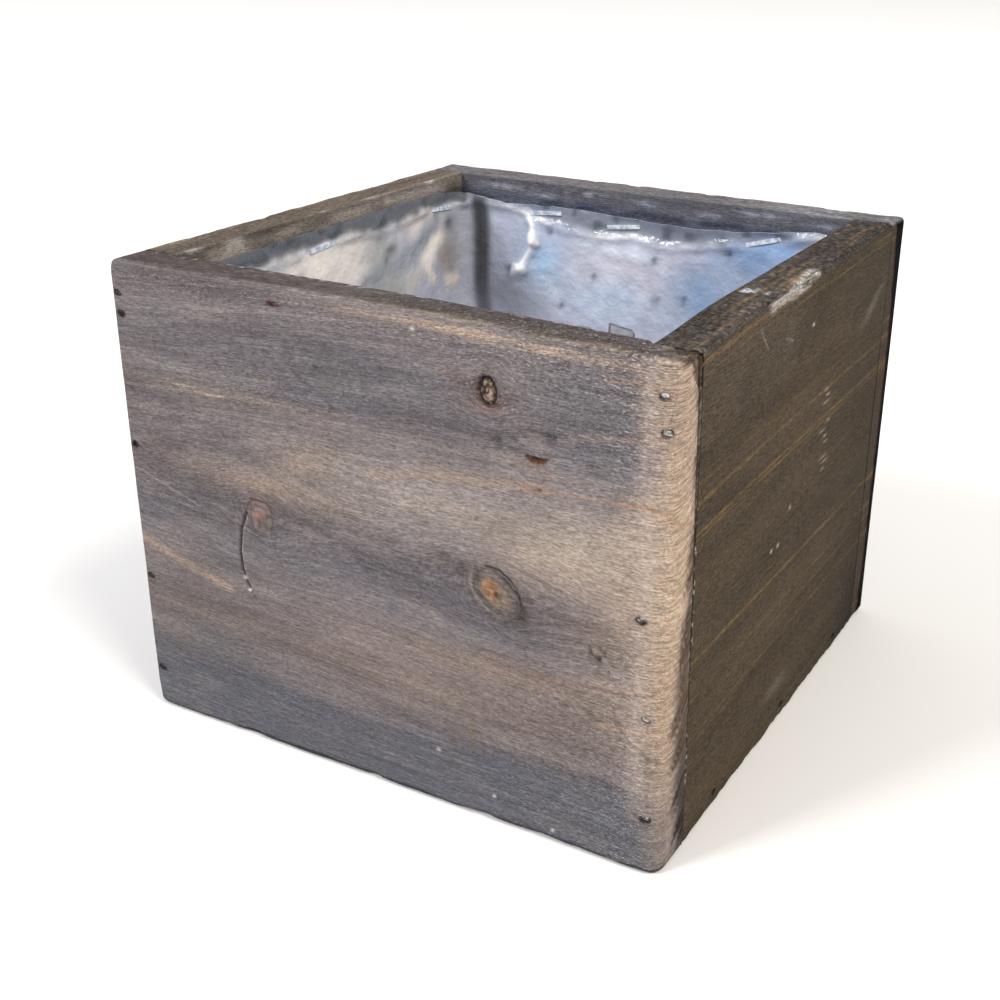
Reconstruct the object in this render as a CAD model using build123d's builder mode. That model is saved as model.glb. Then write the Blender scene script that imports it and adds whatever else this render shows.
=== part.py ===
from build123d import *
import os
from math import sqrt

# Square wooden herb planter with a clear film liner, in millimetres.
# Origin at the centre of the underside, +Z up, front face towards -Y, right side towards +X.

os.makedirs("parts", exist_ok=True)

# Box: the front and back boards run the full width and cover the ends of the side boards
box_width = 152.0
box_depth = 152.0
box_height = 125.0
wall_thickness = 11.5
base_thickness = 9.0
base_gap = 0.2  # all round the base, between the walls

# Edges: sanded along the top and bottom, worn round at the front right corner
edge_round = 2.0
inner_edge_round = 0.6
corner_round = 1.0
worn_corner_round = 6.0
most_corner = 0.75  # of the wall's thickness

# Film liner: pushed into the box, with soft corners and a top edge below the rim
film_thickness = 0.2
film_drop = 8.0
film_corner_round = 5.0
film_fold_round = 5.0

# Brads: flat wire with a T head and a chisel point
brad_length = 28.0
brad_width = 1.25
brad_thickness = 1.05
brad_head_width = 2.0
brad_head_thickness = 0.8
brad_point = 1.5
brad_sink = 0.6  # head below the wood's surface
brad_inset = 3.0  # usual distance in from the end of the board

# Staples: flat wire bent square
staple_crown = 11.2
staple_leg = 6.0
staple_wire_width = 1.2
staple_wire_thickness = 0.6
staple_bend_round = 0.5
staple_drop = 10.0  # usual distance below the rim

# Brads of each corner: share of the usual inset, and share of the box's height
front_left_pattern = [(0.6, 0.934), (0.77, 0.893), (0.67, 0.619), (0.67, 0.319), (0.77, 0.097)]
front_right_pattern = [(1.33, 0.932), (1.07, 0.869), (2.33, 0.525), (1.7, 0.331), (1.37, 0.122)]
back_left_pattern = [(1.13, 0.930), (1.53, 0.845), (1.0, 0.560), (1.27, 0.290), (1.07, 0.110)]
back_right_pattern = [(0.93, 0.925), (1.2, 0.780), (1.6, 0.510), (1.0, 0.330), (1.3, 0.105)]

# Brads into the base: share of the side boards' length, from the middle
base_pattern = [-0.34, 0.02, 0.36]

# Staples of each wall: share of the wall's inner length, share of the usual drop, tilt in degrees
front_staple_pattern = [(-0.31, 1.05, 3.0), (0.05, 0.98, -4.0), (0.36, 1.08, 6.0)]
back_staple_pattern = [(-0.26, 0.96, -5.0), (-0.05, 1.08, -7.0), (0.30, 0.98, -16.0)]
left_staple_pattern = [(-0.33, 1.02, 4.0), (-0.07, 0.95, -3.0), (0.40, 0.94, 5.0)]
right_staple_pattern = [(-0.30, 1.06, -6.0), (0.02, 0.97, 3.0), (0.33, 1.03, -2.0)]

# Worked out from the sizes above
inner_width = box_width - 2 * wall_thickness
inner_depth = box_depth - 2 * wall_thickness
film_height = box_height - film_drop - base_thickness
half_width = box_width / 2
half_depth = box_depth / 2
corner = min(corner_round, most_corner * wall_thickness)
worn_corner = min(worn_corner_round, most_corner * wall_thickness)
brad_entry = brad_sink + worn_corner  # hole from the head out to the board's face


# How far a rounded corner falls behind the board's flat face, at a distance in from its end
def corner_setback(distance, radius):
    if distance >= radius:
        return 0.0
    return radius - sqrt(radius**2 - (radius - distance) ** 2)


# Brads of one corner of the front or back board, each pointing into the side board's end
def corner_brad_places(pattern, side, face, radius):
    places = []
    for inset_share, height_share in pattern:
        distance = inset_share * brad_inset
        depth = half_depth - corner_setback(distance, radius) - brad_sink
        turn = 0 if face < 0 else 180
        position = (side * (half_width - distance), face * depth, height_share * box_height)
        places.append(Location(position, (0, 0, turn)))
    return places


# Brads of one side board, each pointing into the edge of the base
def base_brad_places(side):
    places = []
    for share in base_pattern:
        position = (side * (half_width - brad_sink), share * inner_depth, base_thickness / 2)
        places.append(Location(position, (0, 0, side * 90)))
    return places


# Staples of one wall, whose outward direction makes an angle with +Y
def staple_places(pattern, turn, wall_length, wall_distance):
    wall_face = Location((0, 0, 0), (0, 0, turn))
    places = []
    for length_share, drop_share, tilt in pattern:
        height = box_height - drop_share * staple_drop
        position = (length_share * wall_length, wall_distance - film_thickness, height)
        places.append(wall_face * Location(position, (0, tilt, 0)))
    return places


front_left_places = corner_brad_places(front_left_pattern, -1, -1, corner)
front_right_places = corner_brad_places(front_right_pattern, 1, -1, worn_corner)
back_left_places = corner_brad_places(back_left_pattern, -1, 1, corner)
back_right_places = corner_brad_places(back_right_pattern, 1, 1, corner)
base_left_places = base_brad_places(-1)
base_right_places = base_brad_places(1)
front_staple_places = staple_places(front_staple_pattern, 180, inner_width, inner_depth / 2)
back_staple_places = staple_places(back_staple_pattern, 0, inner_width, inner_depth / 2)
left_staple_places = staple_places(left_staple_pattern, 90, inner_depth, inner_width / 2)
right_staple_places = staple_places(right_staple_pattern, -90, inner_depth, inner_width / 2)
film_staple_places = front_staple_places + back_staple_places
film_staple_places += left_staple_places + right_staple_places

# One brad, driven along +Y, with the outer face of its head at the origin
with BuildPart() as brad:
    with BuildSketch(Plane.XY):
        with BuildLine():
            Polyline(
                (brad_head_width / 2, 0),
                (brad_head_width / 2, brad_head_thickness),
                (brad_width / 2, brad_head_thickness),
                (brad_width / 2, brad_length - brad_point),
                (0, brad_length),
                (-brad_width / 2, brad_length - brad_point),
                (-brad_width / 2, brad_head_thickness),
                (-brad_head_width / 2, brad_head_thickness),
                (-brad_head_width / 2, 0),
                close=True,
            )
        make_face()
    extrude(amount=brad_thickness / 2, both=True)

# The hole that one brad leaves in the wood, open outwards from its head
with BuildPart() as brad_hole:
    add(brad.part)
    Box(
        brad_head_width,
        brad_entry,
        brad_thickness,
        align=(Align.CENTER, Align.MAX, Align.CENTER),
    )

# One staple, driven along +Y, with its crown's inner face at the origin
with BuildPart() as staple:
    with BuildSketch(Plane.XY):
        with Locations((0, -staple_wire_thickness)):
            Rectangle(
                staple_crown,
                staple_leg + staple_wire_thickness,
                align=(Align.CENTER, Align.MIN),
            )
        Rectangle(
            staple_crown - 2 * staple_wire_thickness,
            staple_leg,
            align=(Align.CENTER, Align.MIN),
            mode=Mode.SUBTRACT,
        )
    extrude(amount=staple_wire_width / 2, both=True)
    bends = staple.edges().filter_by(Axis.Z).group_by(Axis.Y)[0]
    fillet(bends, staple_bend_round)

# Front board: its right end is worn round from the face to the joint
with BuildPart() as front_board:
    with BuildSketch() as front_plan:
        with Locations((0, wall_thickness / 2 - half_depth)):
            Rectangle(box_width, wall_thickness)
        fillet(front_plan.vertices().group_by(Axis.Y)[0].sort_by(Axis.X)[-1], worn_corner)
        fillet(front_plan.vertices().group_by(Axis.Y)[0].sort_by(Axis.X)[0], corner)
    extrude(amount=box_height)
    rims = front_board.faces().filter_by(Axis.Z)
    outer_edges = [edge for rim in rims for edge in rim.edges().sort_by(Axis.Y)[:-1]]
    fillet(outer_edges, edge_round)
    inner_edges = front_board.edges().filter_by(Axis.X).group_by(Axis.Y)[-1]
    fillet(inner_edges.sort_by(Axis.Z)[-1], inner_edge_round)
    with Locations(*front_left_places, *front_right_places):
        add(brad_hole.part, mode=Mode.SUBTRACT)
    with Locations(*front_staple_places):
        add(staple.part, mode=Mode.SUBTRACT)
front_board.part.label = "front_board"
export_step(front_board.part, "parts/front_board.step")

# Back board: both ends keep their sanded corners
with BuildPart() as back_board:
    with BuildSketch() as back_plan:
        with Locations((0, half_depth - wall_thickness / 2)):
            Rectangle(box_width, wall_thickness)
        fillet(back_plan.vertices().group_by(Axis.Y)[-1], corner)
    extrude(amount=box_height)
    rims = back_board.faces().filter_by(Axis.Z)
    outer_edges = [edge for rim in rims for edge in rim.edges().sort_by(Axis.Y)[1:]]
    fillet(outer_edges, edge_round)
    inner_edges = back_board.edges().filter_by(Axis.X).group_by(Axis.Y)[0]
    fillet(inner_edges.sort_by(Axis.Z)[-1], inner_edge_round)
    with Locations(*back_left_places, *back_right_places):
        add(brad_hole.part, mode=Mode.SUBTRACT)
    with Locations(*back_staple_places):
        add(staple.part, mode=Mode.SUBTRACT)
back_board.part.label = "back_board"
export_step(back_board.part, "parts/back_board.step")

# Left board, held between the front and back boards
with BuildPart() as left_board:
    with Locations((wall_thickness / 2 - half_width, 0, 0)):
        Box(
            wall_thickness,
            inner_depth,
            box_height,
            align=(Align.CENTER, Align.CENTER, Align.MIN),
        )
    long_edges = left_board.edges().filter_by(Axis.Y).group_by(Axis.X)
    fillet(long_edges[0], edge_round)
    fillet(long_edges[-1].sort_by(Axis.Z)[-1], inner_edge_round)
    with Locations(*front_left_places, *back_left_places, *base_left_places):
        add(brad_hole.part, mode=Mode.SUBTRACT)
    with Locations(*left_staple_places):
        add(staple.part, mode=Mode.SUBTRACT)
left_board.part.label = "left_board"
export_step(left_board.part, "parts/left_board.step")

# Right board, held between the front and back boards
with BuildPart() as right_board:
    with Locations((half_width - wall_thickness / 2, 0, 0)):
        Box(
            wall_thickness,
            inner_depth,
            box_height,
            align=(Align.CENTER, Align.CENTER, Align.MIN),
        )
    long_edges = right_board.edges().filter_by(Axis.Y).group_by(Axis.X)
    fillet(long_edges[-1], edge_round)
    fillet(long_edges[0].sort_by(Axis.Z)[-1], inner_edge_round)
    with Locations(*front_right_places, *back_right_places, *base_right_places):
        add(brad_hole.part, mode=Mode.SUBTRACT)
    with Locations(*right_staple_places):
        add(staple.part, mode=Mode.SUBTRACT)
right_board.part.label = "right_board"
export_step(right_board.part, "parts/right_board.step")

# Base board, between the four walls and level with their lower edges
with BuildPart() as base_board:
    Box(
        inner_width - 2 * base_gap,
        inner_depth - 2 * base_gap,
        base_thickness,
        align=(Align.CENTER, Align.CENTER, Align.MIN),
    )
    with Locations(*base_left_places, *base_right_places):
        add(brad.part, mode=Mode.SUBTRACT)
base_board.part.label = "base_board"
export_step(base_board.part, "parts/base_board.step")

# Film liner: an open bag that lies on the base and against the walls
with BuildPart() as liner:
    with Locations((0, 0, base_thickness)):
        Box(
            inner_width,
            inner_depth,
            film_height,
            align=(Align.CENTER, Align.CENTER, Align.MIN),
        )
    fillet(liner.edges().filter_by(Axis.Z), film_corner_round)
    fillet(liner.faces().sort_by(Axis.Z)[0].edges(), film_fold_round)
    offset(amount=-film_thickness, openings=liner.faces().sort_by(Axis.Z)[-1])
    with Locations(*film_staple_places):
        add(staple.part, mode=Mode.SUBTRACT)
liner.part.label = "liner"
export_step(liner.part, "parts/liner.step")

# Brads, one group for each row of holes
brad_groups = {
    "front_left_nails": front_left_places,
    "front_right_nails": front_right_places,
    "back_left_nails": back_left_places,
    "back_right_nails": back_right_places,
    "base_nails_left": base_left_places,
    "base_nails_right": base_right_places,
}
for name, places in brad_groups.items():
    with BuildPart() as nails:
        with Locations(*places):
            add(brad.part)
    nails.part.label = name
    export_step(nails.part, f"parts/{name}.step")

# Staples, one group for each wall
staple_groups = {
    "liner_staples_front": front_staple_places,
    "liner_staples_back": back_staple_places,
    "liner_staples_left": left_staple_places,
    "liner_staples_right": right_staple_places,
}
for name, places in staple_groups.items():
    with BuildPart() as staples:
        with Locations(*places):
            add(staple.part)
    staples.part.label = name
    export_step(staples.part, f"parts/{name}.step")
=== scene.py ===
# Indoor herb planter: stained pine boards nailed into a square box, with a stapled film liner.
# Pieces are shaped in millimetres in the frame's own axes and scaled to metres at the end.
import itertools
import math

import bmesh
import bpy
import numpy as np
from mathutils import Matrix, Vector


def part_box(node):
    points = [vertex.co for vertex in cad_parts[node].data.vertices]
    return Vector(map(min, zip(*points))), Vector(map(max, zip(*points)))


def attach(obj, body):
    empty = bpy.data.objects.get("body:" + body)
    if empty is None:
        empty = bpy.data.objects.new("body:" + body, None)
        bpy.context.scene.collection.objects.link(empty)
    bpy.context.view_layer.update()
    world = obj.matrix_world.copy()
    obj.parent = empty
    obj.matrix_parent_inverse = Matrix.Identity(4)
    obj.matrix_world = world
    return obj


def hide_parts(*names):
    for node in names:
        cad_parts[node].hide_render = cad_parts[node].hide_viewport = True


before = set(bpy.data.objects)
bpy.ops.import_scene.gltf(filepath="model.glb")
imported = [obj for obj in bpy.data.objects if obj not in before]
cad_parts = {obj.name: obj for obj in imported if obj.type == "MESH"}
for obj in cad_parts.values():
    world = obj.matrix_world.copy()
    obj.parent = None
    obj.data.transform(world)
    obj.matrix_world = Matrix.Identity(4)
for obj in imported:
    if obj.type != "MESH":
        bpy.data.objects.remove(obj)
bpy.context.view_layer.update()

scene = bpy.context.scene
mm = 0.001

# Sizes read from the frame, in millimetres
frontLow, frontHigh = (np.array(c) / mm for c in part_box("front_board"))
filmLow, filmHigh = (np.array(c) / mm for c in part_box("liner"))
baseLow, baseHigh = (np.array(c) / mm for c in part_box("base_board"))
rim = frontHigh[2]
halfBox = frontHigh[0]
wall = frontHigh[1] - frontLow[1]
inner = halfBox - wall


def toLinear(hexCode):
    parts = [int(hexCode[i:i + 2], 16) / 255 for i in (1, 3, 5)]
    return [c / 12.92 if c <= 0.04045 else ((c + 0.055) / 1.055) ** 2.4 for c in parts]


def rgba(hexCode):
    return toLinear(hexCode) + [1]


# A socket among the inputs is linked, anything else is set as the input's value
def setInputs(tree, node, inputs):
    for key, value in inputs.items():
        if isinstance(value, bpy.types.NodeSocket):
            tree.links.new(value, node.inputs[key])
        else:
            node.inputs[key].default_value = value


def addNode(tree, kind, inputs=None, **settings):
    node = tree.nodes.new(kind)
    for name, value in settings.items():
        setattr(node, name, value)
    setInputs(tree, node, inputs or {})
    return node


def newMaterial(name):
    material = bpy.data.materials.new(name)
    material.use_nodes = True
    tree = material.node_tree
    return material, tree, tree.nodes["Principled BSDF"]


# 0 at the first value, 1 at the second, smooth between
def ease(start, end, x):
    t = np.clip((x - start) / (end - start), 0, 1)
    return t * t * (3 - 2 * t)


# 1 at no distance, fading over a half width
def bell(away, half):
    return np.exp(-(away / half) ** 2)


# Points from places along a wall and heights
def wallPoints(along, height=0.0):
    return np.stack([along, 0 * along, height + 0 * along], 1)


# Smooth noise from about -1 to 1, with bumps of that many millimetres
def wander(points, size, seed=0.0):
    places = np.asarray(points, float) / size + seed * 7.31
    cell = np.floor(places)
    blend = places - cell
    blend = blend * blend * (3 - 2 * blend)
    total = np.zeros(len(places))
    for corner in itertools.product((0.0, 1.0), repeat=3):
        spin = np.sin(((cell + corner) * (12.9898, 78.233, 37.719)).sum(1)) * 43758.5453
        share = np.abs(1 - np.array(corner) - blend).prod(1)
        total += share * (2 * (spin - np.floor(spin)) - 1)
    return total


# Share of a brush with these half sizes, 1 at its middle
def dab(points, centre, radii, slope=0.0):
    away = points - np.array(centre, float)
    away[:, 2] -= slope * away[:, 0]
    return np.exp(-((away / np.array(radii, float)) ** 2).sum(1))


# The same on a wall board's outer face: X, height, half length, half height
def faceDab(points, x, z, rx, rz, slope=0.0):
    return dab(points, (x, -halfBox, z), (rx, 4, rz), slope)


# Distance in X and Z from a line through a few points
def lineDistance(points, route):
    flat = points[:, (0, 2)]
    best = np.full(len(flat), 1e9)
    for a, b in zip(route, route[1:]):
        a, b = np.array(a, float), np.array(b, float)
        t = np.clip(((flat - a) * (b - a)).sum(1) / ((b - a) ** 2).sum(), 0, 1)
        best = np.minimum(best, np.linalg.norm(flat - a - t[:, None] * (b - a), axis=1))
    return best


# Lays a colour over painted vertex colours, whose fourth value is how much they cover
def lay(paint, mask, hexCode):
    mask = np.clip(mask, 0, 1)
    cover = paint[:, 3] + mask * (1 - paint[:, 3])
    share = np.where(cover > 1e-6, mask / np.maximum(cover, 1e-6), 0)
    paint[:, :3] += (np.array(toLinear(hexCode)) - paint[:, :3]) * share[:, None]
    paint[:, 3] = cover


# A cube cut into cells along each axis, with the cuts crowded towards its edges
def cutBlock(low, high, cells, crowd):
    low, high = np.array(low), np.array(high)
    bm = bmesh.new()
    bmesh.ops.create_cube(bm, size=1.0)
    for axis in range(3):
        along = [e for e in bm.edges if abs((e.verts[0].co - e.verts[1].co)[axis]) > 1e-6]
        bmesh.ops.subdivide_edges(bm, edges=along, cuts=cells[axis] - 1, use_grid_fill=True)
    for v in bm.verts:
        for axis in range(3):
            u = v.co[axis] + 0.5
            u -= crowd[axis] * math.sin(2 * math.pi * u) / (2 * math.pi)
            v.co[axis] = low[axis] + (high[axis] - low[axis]) * u
    return bm


# Halves twice the edges that are longer than a size inside any of the spots
def refine(bm, spots, longest):
    for turn in range(2):
        edges = list(bm.edges)
        starts = np.array([e.verts[0].co[:] for e in edges])
        ends = np.array([e.verts[1].co[:] for e in edges])
        middle = (starts + ends) / 2
        length = np.linalg.norm(starts - ends, axis=1)
        near = np.zeros(len(edges), bool)
        for centre, radii in spots:
            near |= (((middle - np.array(centre)) / np.array(radii)) ** 2).sum(1) < 1
        chosen = [edges[i] for i in np.nonzero(near & (length > longest))[0]]
        bmesh.ops.subdivide_edges(bm, edges=chosen, cuts=1, use_grid_fill=True)


# How far points move along their two depths when the edge between two faces is rounded
def roundEdge(radius, first, second):
    a, b = np.clip(radius - first, 0, None), np.clip(radius - second, 0, None)
    both = (a > 0) & (b > 0)
    moved = np.zeros(len(a))
    moved[both] = 1 - np.maximum(a, b)[both] / np.hypot(a, b)[both]
    return a * moved, b * moved


def meshOf(bm, name):
    mesh = bpy.data.meshes.new(name)
    bm.to_mesh(mesh)
    bm.free()
    return mesh


def readCorners(mesh, what="co"):
    values = np.empty(len(mesh.vertices) * 3, np.float32)
    mesh.vertices.foreach_get(what, values)
    return values.reshape(-1, 3).astype(float)


def writeCorners(mesh, places):
    mesh.vertices.foreach_set("co", np.asarray(places, np.float32).ravel())
    mesh.update()


def writeLayer(mesh, name, kind, values):
    layer = mesh.attributes.new(name, kind, "POINT")
    key = {"FLOAT_VECTOR": "vector", "FLOAT_COLOR": "color"}[kind]
    layer.data.foreach_set(key, np.asarray(values, np.float32).ravel())


def finishPiece(name, mesh, material, node, turn=0.0):
    mesh.transform(Matrix.Rotation(math.radians(turn), 4, "Z") @ Matrix.Scale(mm, 4))
    mesh.polygons.foreach_set("use_smooth", [True] * len(mesh.polygons))
    mesh.materials.append(material)
    mesh.update()
    piece = bpy.data.objects.new(name, mesh)
    scene.collection.objects.link(piece)
    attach(piece, "root")
    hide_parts(node)
    print(name, len(mesh.vertices), "vertices")
    return piece


# Camera: the photo's angle, fitted to the box's corners; millimetres and degrees
photoView = {
    "azimuth": 28.557,
    "elevation": 23.766,
    "roll": 0.799,
    "distance": 385.51,
    "slide": (-6.71, 11.96),
    "aim": (0.0, 0.0, rim / 2),
    "lens": 49.69,
    "sensor": 36.0,
    "shift": -0.06,
    "nearest": 10.0,
}


def setCamera():
    azimuth, elevation, roll = (math.radians(photoView[k]) for k in ("azimuth", "elevation", "roll"))
    back = Vector((math.sin(azimuth), -math.cos(azimuth), math.tan(elevation))).normalized()
    level = Vector((math.cos(azimuth), math.sin(azimuth), 0))
    up = back.cross(level)
    right = level * math.cos(roll) + up * math.sin(roll)
    top = up * math.cos(roll) - level * math.sin(roll)
    slide = right * photoView["slide"][0] + top * photoView["slide"][1]
    place = Vector(photoView["aim"]) + back * photoView["distance"] - slide
    data = bpy.data.cameras.new("photoCamera")
    data.sensor_width = photoView["sensor"]
    data.lens = photoView["lens"]
    data.shift_x = photoView["shift"]
    data.clip_start = photoView["nearest"] * mm
    camera = bpy.data.objects.new("photoCamera", data)
    turn = Matrix((right, top, back)).transposed().to_4x4()
    camera.matrix_world = Matrix.Translation(place * mm) @ turn
    scene.collection.objects.link(camera)
    scene.camera = camera


# Studio: white surroundings, a soft key from the front left and a soft fill from the right; metres
studio = {
    "world": 0.70,
    "lamps": {
        "key": {"place": (-3.2, -4.6, 4.4), "size": 1.8, "watts": 280, "colour": "#fbfbff"},
        "fill": {"place": (3.6, -1.2, 4.4), "size": 1.8, "watts": 190, "colour": "#fff6ea"},
    },
    "aim": (0, 0, 0.06),
    "floorSize": 14.0,
    "floorColour": "#f6f5f4",
    "floorRough": 0.9,
}


def setStudio():
    world = bpy.data.worlds.new("whiteRoom")
    world.use_nodes = True
    sky = world.node_tree.nodes["Background"]
    setInputs(world.node_tree, sky, {"Strength": studio["world"], "Color": (1, 1, 1, 1)})
    scene.world = world
    for name, look in studio["lamps"].items():
        data = bpy.data.lights.new(name, "AREA")
        data.size = look["size"]
        data.energy = look["watts"]
        data.color = toLinear(look["colour"])
        lamp = bpy.data.objects.new(name, data)
        lamp.location = look["place"]
        aim = Vector(studio["aim"]) - lamp.location
        lamp.rotation_euler = aim.to_track_quat("-Z", "Y").to_euler()
        scene.collection.objects.link(lamp)
    # Floor: matt white paper, on which only the soft shadow shows
    bm = bmesh.new()
    bmesh.ops.create_grid(bm, x_segments=1, y_segments=1, size=studio["floorSize"] / 2)
    mesh = meshOf(bm, "floor")
    paper, tree, shader = newMaterial("matt white paper")
    setInputs(tree, shader, {"Base Color": rgba(studio["floorColour"]), "Roughness": studio["floorRough"]})
    mesh.materials.append(paper)
    floor = bpy.data.objects.new("floor", mesh)
    scene.collection.objects.link(floor)
    scene.view_settings.view_transform = "Standard"


# Pine boards, thin grey-brown stain rubbed into sawn and sanded softwood: matt and cloudy, with a rough nap
# of short fibres, cooler where the stain lay thick and sand-coloured where it lay thin or was sanded off.
# Each pattern: millimetres along the grain, across the rings, across the face, then its detail
pinePatterns = {
    "tone": (70, 9, 26, 4),
    "streaks": (24, 0.9, 5, 4),
    "fibres": (2.4, 0.26, 0.3, 2),
    "nap": (1.0, 0.5, 0.5, 3),
    "hairs": (7, 0.45, 0.5, 3),
    "strands": (26, 0.42, 0.6, 3),
    "mottle": (14, 8, 8, 4),
    "grit": (0.7, 0.3, 0.3, 1),
}


def stainedPine(name, look):
    material, tree, shader = newMaterial(name)
    grain = addNode(tree, "ShaderNodeAttribute", attribute_name="grain").outputs["Vector"]
    stain = addNode(tree, "ShaderNodeAttribute", attribute_name="stain").outputs
    paint = addNode(tree, "ShaderNodeAttribute", attribute_name="paint").outputs
    amount = addNode(tree, "ShaderNodeSeparateColor", {0: stain["Color"]}).outputs
    wave = {}
    for kind, (along, ring, cross, detail) in pinePatterns.items():
        spot = addNode(tree, "ShaderNodeVectorMath", {0: grain, 1: (1 / along, 1 / ring, 1 / cross)},
                       operation="MULTIPLY").outputs[0]
        wave[kind] = addNode(tree, "ShaderNodeTexNoise", {
            "Vector": spot, "Scale": 1.0, "Detail": detail, "Roughness": 0.55, "Distortion": 0.15}).outputs[0]
    # Shares of each tone: source, from, to, least, most
    shapes = {
        "tone": (wave["tone"], 0.36, 0.64, 0.0, 1.0),
        "pale": (wave["streaks"], 0.52, 0.74, 0.0, look["paleAmount"]),
        "shade": (wave["streaks"], 0.46, 0.26, 0.0, look["shadeAmount"]),
        "patch": (wave["mottle"], 0.50, 0.72, 0.0, look["patchAmount"]),
        "value": (wave["fibres"], 0.36, 0.64, look["fibreDark"], look["fibreLight"]),
        "bareFibre": (wave["hairs"], 0.38, 0.60, 0.0, 1.0),
        "vein": (wave["streaks"], 0.36, 0.64, 0.94 * look["brightness"], 1.05 * look["brightness"]),
        "strand": (wave["strands"], 0.36, 0.64, 0.90, 1.10),
        "nap": (wave["nap"], 0.34, 0.66, -1.0, 0.8),
        "napShadeAmount": (stain["Alpha"], 0.0, 1.0, look["napShadeLeast"], look["napShadeMost"]),
        "rough": (wave["streaks"], 0.30, 0.70, 0.68, 0.88),
        "breakTan": (wave["mottle"], 0.34, 0.66, 0.65, 1.20),
        "breakCool": (wave["mottle"], 0.34, 0.66, 0.70, 1.20),
        "breakWear": (wave["nap"], 0.30, 0.62, 0.80, 1.10),
        "breakDust": (wave["grit"], 0.58, 0.74, 0.0, 0.8),
        "breakLine": (wave["mottle"], 0.34, 0.58, 0.25, 1.0),
    }
    mask = {}
    for kind, shape in shapes.items():
        mask[kind] = addNode(tree, "ShaderNodeMapRange", dict(enumerate(shape))).outputs[0]
    painted = (("tan", amount[0], "breakTan"), ("cool", amount[1], "breakCool"),
               ("wear", amount[2], "breakWear"), ("dust", stain["Alpha"], "breakDust"))
    for kind, source, breaker in painted:
        mask[kind] = addNode(tree, "ShaderNodeMath", {0: source, 1: mask[breaker]}, operation="MULTIPLY",
                             use_clamp=True).outputs[0]
    # Sanded wood is smoother
    calm = addNode(tree, "ShaderNodeMath", {0: mask["wear"], 1: 0.65}, operation="MULTIPLY").outputs[0]
    mask["value"] = addNode(tree, "ShaderNodeMix", {0: calm, 2: mask["value"], 3: 1.0}).outputs[0]
    bare = addNode(tree, "ShaderNodeMix", {0: mask["bareFibre"], 6: rgba(look["bareDark"]),
                   7: rgba(look["bare"])}, data_type="RGBA").outputs[2]
    # Layers of colour from the lowest up: share, colour
    layers = [(mask[kind], rgba(look[shade])) for kind, shade in (
        ("tone", "mid"), ("patch", "patch"), ("cool", "cool"), ("tan", "tan"), ("pale", "light"),
        ("shade", "deep"))]
    # Late wood lines at set heights: a ramp over the height, broken along the grain
    if look["lines"]:
        lift = addNode(tree, "ShaderNodeSeparateXYZ", {0: grain}).outputs[2]
        level = addNode(tree, "ShaderNodeMath", {0: lift, 1: 1 / rim}, operation="MULTIPLY").outputs[0]
        ramp = addNode(tree, "ShaderNodeValToRGB", {0: level})
        stops = ramp.color_ramp.elements
        stops[0].color = stops[1].color = rgba("#000000")
        for at, half, strength in look["lines"]:
            for place, shade in ((at - half, 0), (at, strength), (at + half, 0)):
                stops.new(place / rim).color = (shade, shade, shade, 1)
        line = addNode(tree, "ShaderNodeMath", {0: ramp.outputs[0], 1: mask["breakLine"]},
                       operation="MULTIPLY").outputs[0]
        layers.append((line, rgba(look["line"])))
    layers += [(mask["wear"], bare), (paint["Alpha"], paint["Color"]), (mask["dust"], rgba(look["dust"]))]
    colour = rgba(look["dark"])
    for share, shade in layers:
        colour = addNode(tree, "ShaderNodeMix", {0: share, 6: colour, 7: shade}, data_type="RGBA").outputs[2]
    # Painted shade and light in the nap: darker in its hollows, lighter on its tufts, most where the surface
    # is rough
    value = addNode(tree, "ShaderNodeMath", {0: mask["nap"], 1: mask["napShadeAmount"], 2: 1.0},
                    operation="MULTIPLY_ADD").outputs[0]
    for other in ("value", "vein", "strand"):
        value = addNode(tree, "ShaderNodeMath", {0: value, 1: mask[other]}, operation="MULTIPLY").outputs[0]
    finished = addNode(tree, "ShaderNodeHueSaturation", {"Value": value, "Color": colour}).outputs[0]
    height = addNode(tree, "ShaderNodeMath", {0: wave["nap"], 1: 1.2, 2: wave["fibres"]},
                     operation="MULTIPLY_ADD").outputs[0]
    bump = addNode(tree, "ShaderNodeBump", {"Height": height, "Strength": 0.5, "Distance": 0.2 * mm})
    setInputs(tree, shader, {"Base Color": finished, "Roughness": mask["rough"],
                             "Normal": bump.outputs[0], "Specular IOR Level": look["gloss"]})
    return material


# One wall board in its own place at the front: X along it, outer face at -Y
wallShape = {
    "cells": (190, 16, 150),
    "crowd": (0.72, 0.5, 0.72),
    "fineEdge": 0.34,
    "edgeRound": 2.0,
    "innerRound": 0.6,
}


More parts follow.
